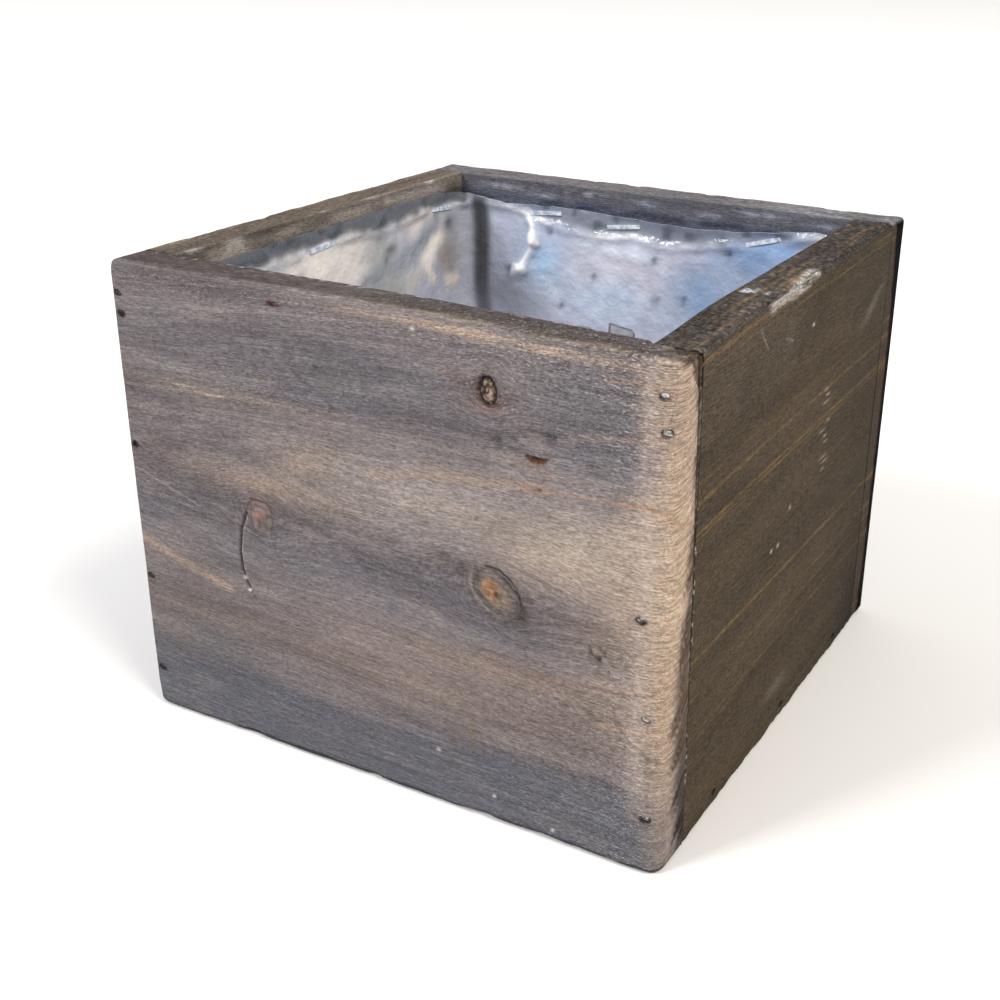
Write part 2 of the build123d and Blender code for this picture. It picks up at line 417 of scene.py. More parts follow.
# Rounds a flat block's corners in plan, then its long upper and lower edges
def roundWall(flat, board):
    x, y, z = (flat[:, i].copy() for i in range(3))
    end = board["length"] / 2
    face = -halfBox
    depth = y - face
    out = np.zeros((len(flat), 2))
    out[:, 1] = -1
    for side, rounds in ((-1, board["leftRound"]), (1, board["rightRound"])):
        radius = np.interp(z, *zip(*rounds))
        if board["endsShow"]:
            endDepth = end - side * flat[:, 0]
            nearEnd = endDepth < depth
            depth = np.where(nearEnd, endDepth, depth)
            out[nearEnd] = (side, 0)
        vx = side * flat[:, 0] - (end - radius)
        vy = face + radius - flat[:, 1]
        spot = (vx > 0) & (vy > 0)
        vx, vy, radius = vx[spot], vy[spot], radius[spot]
        reach = np.maximum(vx, vy)
        length = np.hypot(vx, vy)
        out[spot] = np.stack([side * vx / length, -vy / length], 1)
        x[spot] = side * (end - radius + vx * reach / length)
        y[spot] = face + radius - vy * reach / length
        if board["endsShow"]:
            depth[spot] = radius - reach
    along = wallPoints(flat[:, 0] + flat[:, 1])
    uneven = 0.30 * wander(along, 9, board["seed"]) + 0.2 * wander(along, 2.5, board["seed"] + 1)
    uneven = wallShape["edgeRound"] * (1 + uneven)
    for height, way in ((rim - z, -1), (z.copy(), 1)):
        across, upright = roundEdge(uneven, depth, height)
        x -= out[:, 0] * across
        y -= out[:, 1] * across
        z += way * upright
    across, upright = roundEdge(wallShape["innerRound"], face + wall - flat[:, 1], rim - flat[:, 2])
    return np.stack([x, y - across, z - upright], 1)


# Grain coordinates: along the board and round its end, distance from the pith, height; bent round the knots
def grainOf(flat, board):
    x, y, z = flat.T
    end = board["length"] / 2
    onEnd = (np.abs(x) > end - 1e-4) & board["endsShow"]
    depth = np.where(onEnd, 0, y + halfBox)
    past = np.where(onEnd, y + halfBox, 0)
    run = x + np.sign(x) * past
    lift = z - board["slant"] * np.clip(run - end - 1.0, 0, None) ** 1.3
    if "tilt" in board:
        lift = lift - np.interp(z, *zip(*board["tilt"])) * x / board["length"]
    for knot in board["knots"]:
        away = np.hypot((x - knot["x"]) / (knot["wide"] * 2.6), (z - knot["z"]) / (knot["high"] * 2.2))
        lift = knot["z"] + (lift - knot["z"]) * (1 - 0.75 * np.exp(-away ** 2))
    wave = np.stack([x / 4, y, z], 1)
    waver = wander(wave, 15, board["seed"] + 3) + 0.3 * wander(wave, 4, board["seed"] + 4)
    lift = lift + board["waver"] * waver
    side = lift - board["pithHeight"]
    ring = np.sqrt((depth + board["pithDepth"]) ** 2 + side ** 2) - board["taper"] * run
    return np.stack([run + 530 * board["seed"], ring, lift], 1)


# Knots as rings of colour and a worn groove round each
def drawKnot(places, paint, deep, knot):
    away = places - np.array([knot["x"], -halfBox, knot["z"]])
    wobble = 1 + 0.10 * wander(places, 2.2, knot["x"]) + 0.06 * wander(places, 0.8, knot["z"])
    lean = math.radians(knot["lean"])
    across = away[:, 0] * math.cos(lean) + away[:, 2] * math.sin(lean)
    upward = away[:, 2] * math.cos(lean) - away[:, 0] * math.sin(lean)
    near = np.hypot(across / knot["wide"], upward / knot["high"]) * wobble
    front = bell(away[:, 1], 4)
    angle = np.arctan2(away[:, 2], away[:, 0])
    for start, finish, soft, share, shade in knot["rings"]:
        band = ease(start - soft, start + soft, near) * (1 - ease(finish - soft, finish + soft, near))
        lay(paint, band * share * front, shade)
    for centre, width, share, shade, facing in knot["lines"]:
        turn = (0.5 + 0.5 * np.cos(angle - math.radians(facing))) ** 2 if facing is not None else 1.0
        line = bell(near - centre, width) * turn
        lay(paint, line * share * front, shade)
        deep += knot["groove"] * line * front
    # Broken bark in a loose knot
    crack = ease(0.30, 0.10, np.abs(wander(places * (1.6, 1, 0.7), 1.3, 21)))
    crack = crack * ease(1.1, 0.9, near) * front
    lay(paint, knot["bark"] * crack, "#17110e")
    deep += 0.4 * knot["bark"] * crack


# Shares of a board's outer face, of its inner face and of its rim
def outerFace(flat):
    return 1 - ease(3.0, 5.0, flat[:, 1] + halfBox)


def innerFace(places):
    return ease(wall - 1.5, wall - 0.2, places[:, 1] + halfBox)


def rimFace(flat):
    return ease(rim - 1.5, rim - 0.3, flat[:, 2])


# Soft marks on the outer face: X, height, half length, half height, slope, strength, how patchy, colour
def layMarks(places, paint, marks, patchy):
    for x, z, rx, rz, slope, share, broken, shade in marks:
        brush = faceDab(places, x, z, rx, rz, slope)
        lay(paint, share * brush * (1 - broken + broken * patchy), shade)


def makeWall(board, material):
    end = board["length"] / 2
    low, high = (-end, -halfBox, 0), (end, wall - halfBox, rim)
    bm = cutBlock(low, high, wallShape["cells"], wallShape["crowd"])
    # Finer mesh under knots, nails, specks and growth lines
    fine = list(board["fineSpots"])
    fine += [(k["x"], k["z"], k["wide"] * 1.5, k["high"] * 1.5) for k in board["knots"]]
    fine += [(x, z, 3.0, 2.2) for x, z, wide, dark in board["nails"]]
    fine += [(x, z, 1.3, 1.3) for x, z in board["specks"]]
    for route, half, share, shade in board["growthLines"]:
        for (ax, az), (bx, bz) in zip(route, route[1:]):
            fine.append(((ax + bx) / 2, (az + bz) / 2, (bx - ax) / 2 + 2, abs(bz - az) / 2 + 1.0))
    spots = [((x, -halfBox, z), (rx, 2.0, rz)) for x, z, rx, rz in fine]
    spots += [((x, y, rim / 2), (2.0, 2.5, rim / 2 + 2)) for x, y in board["seams"]]
    refine(bm, spots, wallShape["fineEdge"])
    mesh = meshOf(bm, board["name"])
    flat = readCorners(mesh)
    places = roundWall(flat, board)
    if "settle" in board:
        places = board["settle"](places, flat)
    writeCorners(mesh, places)
    outward = readCorners(mesh, "normal")
    paint = np.zeros((len(flat), 4))
    paint[:, :3] = toLinear(board["paintBase"])
    stain = np.zeros((len(flat), 4))
    deep = 0.12 + 0.08 * wander(places, 30, board["seed"]) + 0.04 * wander(places, 7, board["seed"] + 2)
    # Distance from the sharp upper and lower outer edges, round the surface
    upper = (flat[:, 1] + halfBox) + (rim - flat[:, 2])
    lower = (flat[:, 1] + halfBox) + flat[:, 2]
    chips = ease(0.25, 0.6, wander(places * (0.5, 1, 1), 2.4, board["seed"] + 5))
    deep += chips * (0.4 * bell(upper, 2.2) + 0.5 * bell(lower, 2.6))
    for row, patches in ((0, board["tanPatches"]), (1, board["coolPatches"])):
        for x, z, rx, rz, slope, share in patches:
            brush = share * dab(places, (x, -halfBox, z), (rx, 6, rz), slope)
            stain[:, row] = np.maximum(stain[:, row], brush)
    for knot in board["knots"]:
        drawKnot(places, paint, deep, knot)
    board["dress"](places, flat, paint, stain, deep, upper)
    for x, z, wide, dark in board["nails"]:
        sinkNail(places, paint, deep, x, z, wide, dark)
    writeCorners(mesh, places - outward * np.clip(deep, 0, None)[:, None])
    writeLayer(mesh, "grain", "FLOAT_VECTOR", grainOf(flat, board))
    writeLayer(mesh, "stain", "FLOAT_COLOR", np.clip(stain, 0, 1))
    writeLayer(mesh, "paint", "FLOAT_COLOR", paint)
    return finishPiece(board["name"], mesh, material, board["node"], board["turn"])


# Nail hole: the head lies a little under the surface, in torn and darkened wood; the hole is painted dark as
# shade, and the torn patch, offset right and down, is a painted shadow
def sinkNail(places, paint, deep, x, z, wide, dark):
    hole = dab(places, (x, -halfBox, z), (wide, 6.0, 0.85))
    deep += 1.05 * ease(0.35, 0.75, hole)
    torn = dab(places, (x + 0.3, -halfBox, z - 0.25), (wide + 0.2, 6.0, 1.0)) + 0.2 * wander(places, 0.8, x)
    lay(paint, 0.9 * ease(0.35, 0.65, torn) * (0.4 + 0.6 * dark), "#1f1a18")
    lay(paint, 0.9 * ease(0.22, 0.6, hole) * dark, "#1f1a18")
    lay(paint, 0.35 * dab(places, (x - 0.4, -halfBox, z), (2.4, 6.0, 1.3)) * dark, "#3d3532")


# The joint with the right board leans: its shift towards the back, at the foot and at the rim
jointLean = [(0.0, 2.0), (rim, -1.5)]


def leanAt(z):
    return np.interp(z, *zip(*jointLean))


# Front board
frontBoard = {
    "name": "frontBoard",
    "node": "front_board",
    "turn": 0,
    "length": 2 * halfBox,
    "endsShow": True,
    # Corner radii by height
    "leftRound": [(0.0, 2.0), (8.0, 1.0), (rim, 1.0)],
    "rightRound": [(0.0, 4.0), (14.0, 5.0), (40.0, 6.4), (110.0, 6.4), (117.0, 5.5), (rim, 3.2)],
    "seed": 1.0,
    "pithHeight": 78.0,
    "pithDepth": 20.0,
    "taper": 0.045,
    "waver": 1.1,
    "slant": 0.16,
    "sag": 1.2,
    "paintBase": "#7d7472",
    # Nails: X, height, half width of the hole, darkness of the painted shade in and round it
    "nails": [
        (-74.2, 116.75, 1.2, 0.9), (-73.7, 111.6, 1.3, 1.0), (-74.0, 77.4, 1.2, 0.9),
        (-74.0, 39.9, 1.2, 0.8), (-73.7, 12.1, 1.3, 0.9),
        (72.0, 116.5, 1.3, 0.5), (72.8, 108.6, 1.4, 0.5), (69.0, 65.6, 1.4, 1.0),
        (70.9, 41.4, 1.0, 0.4), (71.9, 15.25, 1.5, 0.9),
    ],
    "crack": [(-38.9, 65.9), (-40.9, 61.25), (-41.9, 55.0), (-41.6, 50.0), (-40.6, 46.9), (-38.5, 43.1)],
    "scratch": [(-73.5, 70.6), (-52.25, 64.0)],
    # Growth lines and a crack round the large knot: points along the face and on round its worn end,
    # half width, strength, colour
    "growthLines": [
        ([(-75, 50.6), (-66, 48.4), (-58, 45.7), (-46, 43.2)], 1.1, 0.60, "#ad9682"),
        ([(-1, 84.5), (18, 88.0), (32, 89.6), (46, 90.6)], 1.4, 0.60, "#a38c78"),
        ([(40, 90.0), (56, 91.0), (70, 91.7), (75, 90.4), (81, 87.5), (87, 86)], 0.45, 0.75, "#a67f5e"),
        ([(34, 95.4), (48, 94.2), (62, 93.2), (72, 92.6)], 0.4, 0.50, "#9a7f69"),
        ([(52, 104.2), (66, 106.2), (76, 106.6), (82, 104)], 0.9, 0.35, "#9a887b"),
        ([(58, 117.6), (68, 118.8), (75, 117.4)], 0.5, 0.50, "#866d58"),
        ([(30.5, 69.0), (34, 68.7), (37, 66.8), (39, 64.0), (40.2, 60.5)], 0.36, 0.95, "#1c1512"),
        ([(26.5, 45.6), (42, 44.3), (56, 45.4), (66, 46.2), (72, 47.4), (78, 50)], 0.4, 0.60, "#7a5546"),
        ([(56, 47.4), (66, 48.0), (75, 49.5), (80, 53)], 1.0, 0.35, "#b9997e"),
        ([(60, 36.6), (70, 37.2), (77, 39)], 0.6, 0.45, "#b28f73"),
        ([(30, 28.6), (50, 28.4), (66, 28.2)], 0.7, 0.35, "#4f423d"),
        ([(50, 13.2), (68, 12.4)], 0.35, 0.40, "#938c88"),
        ([(34, 20.2), (48, 20.6), (64, 21.8)], 1.2, 0.40, "#48494f"),
    ],
    # Width of the dark end beside the joint, dark end grain with painted shade over it, by height
    "jointShadeWedge": [(0, 5.0), (20, 7.0), (40, 7.0), (50, 6.4), (60, 5.6), (70, 3.5), (85, 1.4), (rim, 0.8)],
    # The sanded right end: height, where it begins, over what length it grows, how bare it gets
    "sanded": [
        (0, 69, 8, 0.20), (14, 67, 8, 0.42), (22, 66, 8, 0.60), (36, 62, 12, 0.80), (50, 62, 12, 0.85),
        (60, 60, 14, 0.90), (68, 50, 24, 1.0), (84, 52, 22, 1.0), (90, 60, 14, 0.95), (96, 65, 9, 0.85),
        (110, 65, 8, 0.85), (118, 62, 10, 0.80), (rim, 64, 10, 0.80),
    ],
    # Stain left in the sanded wood: place along the face and round its end, share that is bare
    "stainLeft": [(60, 0.66), (72, 0.72), (77, 1.0)],
    "seams": [(halfBox, wall - halfBox)],
    # Blue-grey band along the foot: X, height; darker streaks in it: height, half height
    "foot": [(-halfBox, 20.6), (0, 18.75), (halfBox, 22.5)],
    "footStreaks": [(12.5, 0.9), (7.5, 1.1), (16.5, 0.5)],
    # Lighter and darker patches, rows as for layMarks
    "palePatches": [
        (10, 81, 34, 9.0, 0, 0.50, 0, "#a39b96"), (54, 77, 20, 9.0, 0, 0.55, 0, "#b2a69a"),
        (60, 40, 14, 10, 0, 0.25, 0, "#a3907f"), (-55, 23, 32, 9.0, 0, 0.58, 0, "#55555b"),
        (-58, 40, 24, 9.0, 0, 0.55, 0, "#625b5a"), (55, 30, 14, 8.0, 0, 0.30, 0, "#665c58"),
    ],
    # Smudge round the pitch pocket
    "pitchMarks": [
        (36.5, 99.6, 4.0, 1.5, 0, 0.95, 1, "#3f3d41"), (46.6, 103.2, 2.2, 1.0, 0, 0.95, 1, "#3f3d41"),
        (52.0, 102.4, 5.0, 1.0, 0, 0.6, 1, "#3f3d41"), (30.0, 100.6, 5.0, 0.8, 0, 0.35, 1, "#3f3d41"),
    ],
    # Small marks: on the growth lines, round the large knot (the first a painted shadow below its crack),
    # pits, smears, then round the small knot
    "marks": [
        (16.75, 91.0, 1.0, 0.45, 0, 0.8, 0, "#8d6a50"), (44.0, 90.4, 1.0, 0.45, 0, 0.8, 0, "#4a3a32"),
        (40.0, 59.0, 1.8, 3.4, 0, 0.62, 0.6, "#3c3533"), (67.6, 56.8, 1.4, 0.7, 0, 0.45, 0, "#3f3835"),
        (35.9, 54.8, 2.8, 1.3, 0.3, 0.50, 0.6, "#3f3a3a"), (26.5, 23.1, 1.0, 3.2, 0, 0.45, 0, "#6f5f45"),
        (26.5, 46.25, 1.2, 0.4, 0, 0.62, 0.6, "#403938"), (8.0, 44.4, 1.6, 0.6, 0, 0.62, 0.6, "#403938"),
        (19.0, 68.1, 2.4, 1.0, 0, 0.62, 0.6, "#403938"), (22.0, 67.4, 5.0, 1.6, 0, 0.62, 0.6, "#403938"),
        (15.9, 51.25, 2.2, 2.6, 0, 0.35, 1, "#b0a49c"), (25.4, 110.9, 5.2, 3.2, -0.3, 0.45, 0, "#584039"),
        (36.2, 109.8, 3.6, 2.6, 0, 0.35, 0, "#5d443d"), (32.5, 106.2, 7.0, 1.6, 0, 0.35, 0.5, "#95796c"),
    ],
    # Short rubbed streaks: X, height, half length
    "rubbed": [
        (-56.25, 96.2, 2.8), (-49.0, 95.3, 2.4), (-44.5, 95.4, 2.2), (-27.4, 108.9, 0.8), (-29.4, 102.6, 0.8),
        (-30.2, 97.0, 0.7), (-22.0, 104.6, 0.6),
    ],
    # Rough places with dark dots: X, height, half length, half height, strength
    "roughPatches": [
        (58, 39, 12, 3.0, 0.60), (40, 37, 10, 3.0, 0.40), (55, 21, 15, 2.2, 0.55), (71, 30, 4, 7.0, 0.70),
        (36, 31, 14, 4.0, 0.35), (40, 50, 6, 4.0, 0.45), (60, 54, 7, 4.0, 0.55), (60, 113, 13, 8.0, 0.40),
        (58, 101, 12, 5.0, 0.45), (48, 118, 20, 4.0, 0.35), (0, 105, 20, 5.0, 0.45),
        (-10, 99, 16, 4.0, 0.40), (-34, 105, 24, 7.0, 0.30), (24, 68, 8, 3.0, 0.50),
        (-40, 113, 26, 5.0, 0.30), (-10, 58, 30, 7.0, 0.30),
    ],
    # White specks of dried paint or dust: X, height
    "specks": [(12.5, 121.1), (16.5, 15.6), (32.25, 7.5), (48.4, 3.5), (-41.0, 47.6), (-39.8, 44.4)],
    # Knots, from 0 at the heart to 1 at the outline; rings: start, end, softness, strength, colour;
    # lines: place, half width, strength, colour, the way they face in degrees, or None all round
    "knots": [
        {
            "x": 31.4, "z": 110.3, "wide": 2.1, "high": 2.9, "lean": 10, "groove": 0.55, "bark": 0.9,
            "rings": [
                (0.0, 1.9, 0.6, 0.40, "#4f3a34"),
                (0.0, 1.3, 0.18, 0.7, "#392b2b"),
                (0.0, 0.84, 0.14, 0.95, "#917b6a"),
                (0.0, 0.45, 0.2, 0.7, "#bba78f"),
            ],
            "lines": [(1.0, 0.15, 0.95, "#120d0b", None), (0.55, 0.08, 0.8, "#2a1d16", 220)],
        },
        {
            "x": 33.0, "z": 62.6, "wide": 7.6, "high": 5.1, "lean": -40, "groove": 0.16, "bark": 0.0,
            "rings": [
                (0.8, 1.4, 0.3, 0.22, "#544b49"),
                (0.0, 0.98, 0.06, 0.55, "#6a625d"),
                (0.0, 0.60, 0.12, 0.60, "#85705f"),
            ],
            "lines": [
                (0.98, 0.060, 1.00, "#17110f", 35),
                (0.99, 0.060, 0.50, "#a29182", 200),
                (0.84, 0.035, 0.60, "#3d3634", None),
                (0.70, 0.030, 0.55, "#4a413d", 200),
                (0.58, 0.030, 0.50, "#54473f", 60),
            ],
        },
        {
            "x": -34.5, "z": 66.0, "wide": 4.2, "high": 4.5, "lean": 0, "groove": 0.14, "bark": 0.0,
            "rings": [
                (0.0, 0.95, 0.14, 0.35, "#7f6f68"),
                (0.0, 0.60, 0.22, 0.35, "#8a7061"),
                (0.0, 0.24, 0.14, 0.55, "#91644c"),
            ],
            "lines": [
                (0.98, 0.060, 0.90, "#3d2823", 50),
                (0.98, 0.080, 0.60, "#65402f", 90),
                (0.78, 0.045, 0.55, "#5a463d", 330),
                (0.58, 0.040, 0.45, "#5f4c43", 60),
                (0.40, 0.040, 0.40, "#64483b", 250),
            ],
        },
    ],
    # Soft patches where the stain is thin: X, height, half length, half height, slope, strength
    "tanPatches": [
        (-30, 75, 26, 3.5, -0.04, 0.55), (-18, 83, 12, 5.5, 0.20, 0.50), (52, 76, 18, 8.0, 0.02, 0.75),
        (42, 75, 4, 1.6, 0.0, 0.95), (-60, 46.5, 14, 2.2, -0.20, 0.30), (-66, 26, 8, 3.0, 0.0, 0.40),
        (30, 42, 46, 4.5, 0.0, 0.40), (10, 33, 60, 8.0, 0.0, 0.30), (20, 80, 30, 4.0, 0.03, 0.35),
        (-40, 96, 30, 1.6, 0.0, 0.30), (62, 58, 12, 12, 0.0, 0.35), (-50, 34, 26, 5.0, -0.03, 0.30),
    ],
    "coolPatches": [
        (0, 108, 60, 8.0, 0.0, 0.50), (-4, 101.5, 24, 2.6, 0.03, 0.70), (-45, 111, 40, 3.5, 0.0, 0.40),
        (-66, 62, 12, 5.0, 0.0, 0.50), (-28, 56, 36, 6.0, -0.05, 0.45), (10, 57, 34, 7.0, -0.08, 0.50),
        (56, 110, 13, 8.0, 0.0, 0.65), (58, 100, 12, 5.0, 0.0, 0.60), (50, 52, 20, 5.0, 0.0, 0.40),
        (-50, 103, 20, 3.0, 0.0, 0.35),
    ],
    # Places that need a finer mesh: X, height, half sizes
    "fineSpots": [
        (43.4, 97.75, 5, 2.5), (-25.6, 120.9, 4, 2.0), (-41.0, 55, 3.5, 13), (59, 53.1, 6, 4),
        (-51, 95.7, 9, 1.8), (26.5, 23.1, 3, 4.5), (43, 101, 13, 4.0), (-63, 67.3, 12, 4.5),
    ],
}


def dressFront(places, flat, paint, stain, deep, upper):
    board = frontBoard
    x, y, z = places.T
    outside, top = outerFace(flat), rimFace(flat)
    onEnd = flat[:, 0] > halfBox - 1e-4
    # Way along the surface, round the worn right corner to the joint
    way = np.where(onEnd, halfBox + flat[:, 1] + halfBox, flat[:, 0])
    toJoint = halfBox + wall + leanAt(z) - way
    # Breakers: fine comb along the grain, patches, ragged outlines, dots
    fine = places * (0.25, 0.25, 1)
    comb = wander(fine, 1.3, 9) + 0.6 * wander(fine, 4, 10) + 0.3 * wander(fine, 0.7, 43)
    patchy = ease(-0.35, 0.35, wander(places * (0.6, 1, 1), 1.4, 9) + 0.5 * wander(places, 4, 22))
    ragged = 0.12 * wander(places, 0.9, 23)
    dots = wander(places * (0.6, 1, 1), 1.1, 41) + 0.3 * wander(places * (0.4, 1, 1), 3.5, 42)
    dots = ease(0.05, 0.5, dots)
    # Darker blue-grey band along the foot, with a few darker streaks, and painted shade making the lower edge
    # nearly black where it turns under
    foot = np.interp(x, *zip(*board["foot"])) + 1.5 * wander(places, 20, 4)
    band = (1 - ease(-4, 3, z - foot)) * outside
    stain[:, 0] *= 1 - band
    stain[:, 1] = np.maximum(stain[:, 1], 0.95 * band)
    for at, half in board["footStreaks"]:
        streak = bell(z - at - 0.6 * wander(places * (0.2, 1, 0), 9, at), half)
        broken = ease(-0.4, 0.5, wander(places * (0.2, 1, 1), 6, at + 1))
        lay(paint, 0.25 * streak * outside * broken, "#4b4b51")
    # Painted shade along the down-turned lower edge
    edge = ease(1.2, 0.2, z - 0.9 - 0.6 * wander(places * (0.5, 1, 0), 3, 17))
    lay(paint, 0.85 * edge, "#23232a")
    # Sanded right end: pale where it begins, sand-coloured round the corner, dark beside the joint, where
    # painted shade lies on the end grain
    heights, starts, grows, barest = zip(*board["sanded"])
    begin = np.interp(z, heights, starts) - 1.2 * comb - 1.5 * wander(places, 6, 12)
    worn = ease(0, 1, (way - begin) / np.interp(z, heights, grows)) * np.interp(z, heights, barest)
    worn *= np.interp(way, *zip(*board["stainLeft"]))
    slanted = np.stack([0 * x, 0.2 * y, z - 0.9 * y], 1)
    strands = wander(slanted, 0.8, 45) + 0.6 * wander(slanted, 2.2, 46)
    jointShadeWedge = ease(2.2, -2.8, toJoint - np.interp(z, *zip(*board["jointShadeWedge"])) - 1.6 * strands) * onEnd
    stain[:, 2] = worn * (1 - 0.75 * jointShadeWedge)
    layMarks(places, paint, board["palePatches"], patchy)
    lay(paint, 0.20 * bell(way - 69.5 - 0.8 * comb, 2.4) * outside * ease(12, 24, z), "#c9bbb3")
    # Painted shade on the end grain beside the joint, darkest towards the foot
    lay(paint, jointShadeWedge * (0.80 + 0.35 * strands) * ease(18, 34, z), "#4b3825")
    lay(paint, jointShadeWedge * (0.88 + 0.25 * strands) * ease(38, 16, z), "#231a12")
    # Rubbed upper edge, strongest to the right
    arris = bell(upper - 2.4, 1.1) * ease(-35, 25, x) * (1 - onEnd)
    arris = arris * (0.45 + 0.5 * wander(places * (0.3, 1, 1), 2.5, 8))
    stain[:, 2] = np.maximum(stain[:, 2], np.clip(arris, 0, 1))
    # Rough sawn nap with pale dust in it, thickest near the upper right and beside the sanded end
    dusty = 0.5 * ease(-10, 60, x) * ease(85, 120, z)
    dusty += 0.45 * bell(way - 67, 6) * (1 - ease(60, 66, z) * ease(96, 90, z))
    dusty += 0.35 * faceDab(places, -28, 99, 16, 5) + 0.25 * ease(60, 40, z) * ease(20, 45, x)
    dusty += 0.3 * bell(upper - 3, 4) * (1 - 0.7 * top)
    stain[:, 3] = 0.12 * (1 - jointShadeWedge) + dusty * (1 - onEnd) * (1 - 0.6 * worn)
    for px, pz, rx, rz, share in board["roughPatches"]:
        lay(paint, share * dots * faceDab(places, px, pz, rx, rz), "#464144")
    # Crack from the left knot down, painted dark as shade, with a thin torn edge painted light on one side
    away = lineDistance(places, board["crack"])
    beside = lineDistance(places - np.array([0.55, 0, 0]), board["crack"])
    lay(paint, 0.45 * bell(beside, 0.28) * outside, "#b9afa8")
    lay(paint, 0.90 * bell(away, 0.42) * outside, "#2b2523")
    lay(paint, 0.85 * faceDab(places, -38.6, 65.8, 0.9, 0.7), "#2b2422")
    deep += 0.5 * bell(away, 0.4) * outside
    # Pitch pocket, bowed, and the smudge round it
    layMarks(places, paint, board["pitchMarks"], patchy)
    lay(paint, 0.25 * faceDab(places, 43.5, 101.2, 8.0, 1.6) * (1 - patchy), "#b3a6a2")
    bowed = places - wallPoints(0 * x, 0.09 * (x - 43.2) ** 2)
    pocket = ease(0.25, 0.55, faceDab(bowed, 43.2, 96.9, 3.0, 0.85) + ragged)
    lay(paint, 0.95 * pocket, "#573524")
    lay(paint, 0.80 * pocket * faceDab(bowed, 42.4, 97.4, 2.6, 0.40), "#22140e")
    lay(paint, 0.40 * faceDab(bowed, 43.6, 95.7, 3.6, 0.5), "#8a6a54")
    deep += 0.5 * pocket
    # Splinter lost near the upper edge
    chip = ease(0.3, 0.55, faceDab(places, -25.6, 120.9, 2.0, 0.6, -0.12) + ragged)
    lay(paint, 0.95 * chip, "#5c3527")
    lay(paint, 0.85 * faceDab(places, -26.4, 120.6, 1.3, 0.3, -0.12), "#20140f")
    deep += 0.5 * chip
    # Rubbed streaks, scratch, growth lines
    for sx, sz, rx in board["rubbed"]:
        lay(paint, 0.80 * faceDab(places, sx, sz, rx, 0.30) * (0.5 + 0.5 * patchy), "#cdb39a")
    lay(paint, 0.30 * bell(lineDistance(places, board["scratch"]), 0.28) * outside, "#aba39e")
    soft = np.clip(0.75 + 0.5 * wander(places * (0.3, 1, 1), 4, 13), 0, 1) * (y < wall - halfBox - 0.3)
    for route, half, share, shade in board["growthLines"]:
        wavy = wallPoints(way, z + 0.25 * wander(places * (0.3, 1, 0), 2.5, half))
        lay(paint, share * bell(lineDistance(wavy, route), half) * soft, shade)
    # Heart of the large knot, ragged and orange-brown, with a dark red eye
    heart = faceDab(places, 31.7, 63.3, 2.9, 2.7) + 0.22 * wander(places, 1.2, 24)
    heart = ease(0.35, 0.7, heart)
    lay(paint, 0.75 * heart, "#9d7152")
    lay(paint, 0.55 * heart * patchy, "#b28a66")
    lay(paint, 0.85 * ease(0.3, 0.8, faceDab(places, 33.1, 62.4, 0.95, 0.95)), "#4d2a1c")
    # Pits, smudges and specks
    pits = ease(0.0, 0.35, wander(places, 1.2, 11)) * faceDab(places, 59, 53.6, 4.8, 3.2)
    lay(paint, 0.65 * pits + 0.55 * faceDab(places, 59.6, 52.6, 1.1, 0.9), "#332e2c")
    deep += 0.25 * pits
    layMarks(places, paint, board["marks"], patchy)
    for sx, sz in board["specks"]:
        lay(paint, 0.85 * faceDab(places, sx, sz, 0.5, 0.45), "#d9d5d0")
    # Rim: torn fibre on the inner edge, lap mark on the outer one, broken corner beside the joint
    lay(paint, 0.88 * top * ease(0.8, 3.0, upper) * (0.75 + 0.25 * patchy), "#463e3b")
    lay(paint, 0.8 * dab(places, (35.0, wall - halfBox, rim - 0.8), (3.6, 0.8, 1.0)), "#6b4029")
    lay(paint, 0.5 * dab(places, (58.0, -halfBox + 2, rim - 0.8), (4.0, 1.6, 1.4)), "#8e7d6e")
    flecks = ease(0.45, 0.6, wander(places, 0.8, 15)) * ease(wall - 2.5, wall - 0.5, y + halfBox)
    lay(paint, 0.7 * flecks * top, "#cfc9c4")
    corner = dab(places, (halfBox, wall - halfBox - 1.6, rim - 2.2), (6, 4.8, 6.5))
    chip = ease(0.30, 0.42, corner + ragged)
    lay(paint, 0.85 * chip * (0.7 + 0.3 * patchy), "#433122")
    deep += 0.35 * chip
    # Joint with the right board: dark, with crumbs of dried glue
    seam = bell(toJoint, 0.5) * onEnd
    lay(paint, 0.85 * seam, "#1d1815")
    crumbs = ease(0.35, 0.50, wander(places * (1, 1, 0.7), 0.6, 16) + 0.35 * wander(places, 6, 25))
    lay(paint, 0.75 * crumbs * bell(toJoint - 0.5, 0.4) * onEnd, "#cfc8c0")
    deep += 0.25 * seam


# The front board's rim sinks towards its right end, and its inner edge there follows the leaning joint
def settleFront(places, flat):
    x, y, z = (places[:, i].copy() for i in range(3))
    z -= frontBoard["sag"] * ease(0, halfBox, x) * (z / rim) ** 2
    nearJoint = ease(inner - 1.0, inner + 0.3, flat[:, 0])
    y += leanAt(z) * nearJoint * ease(0.4, 1.0, (flat[:, 1] + halfBox) / wall)
    return np.stack([x, y, z], 1)


frontBoard["dress"] = dressFront
frontBoard["settle"] = settleFront

frontPine = {
    "dark": "#645d5f", "mid": "#827a7a", "light": "#a2978f", "paleAmount": 0.22, "deep": "#4c4647",
    "shadeAmount": 0.32, "patch": "#6f6971", "patchAmount": 0.45, "tan": "#a18c79", "cool": "#5f6068",
    "line": "#a58b70", "lines": [], "bare": "#cdb6a0", "bareDark": "#a38c76", "dust": "#c3bbb9",
    "fibreDark": 0.74, "fibreLight": 1.26, "napShadeLeast": 0.22, "napShadeMost": 0.48, "brightness": 0.84,
    "gloss": 0.12,
}


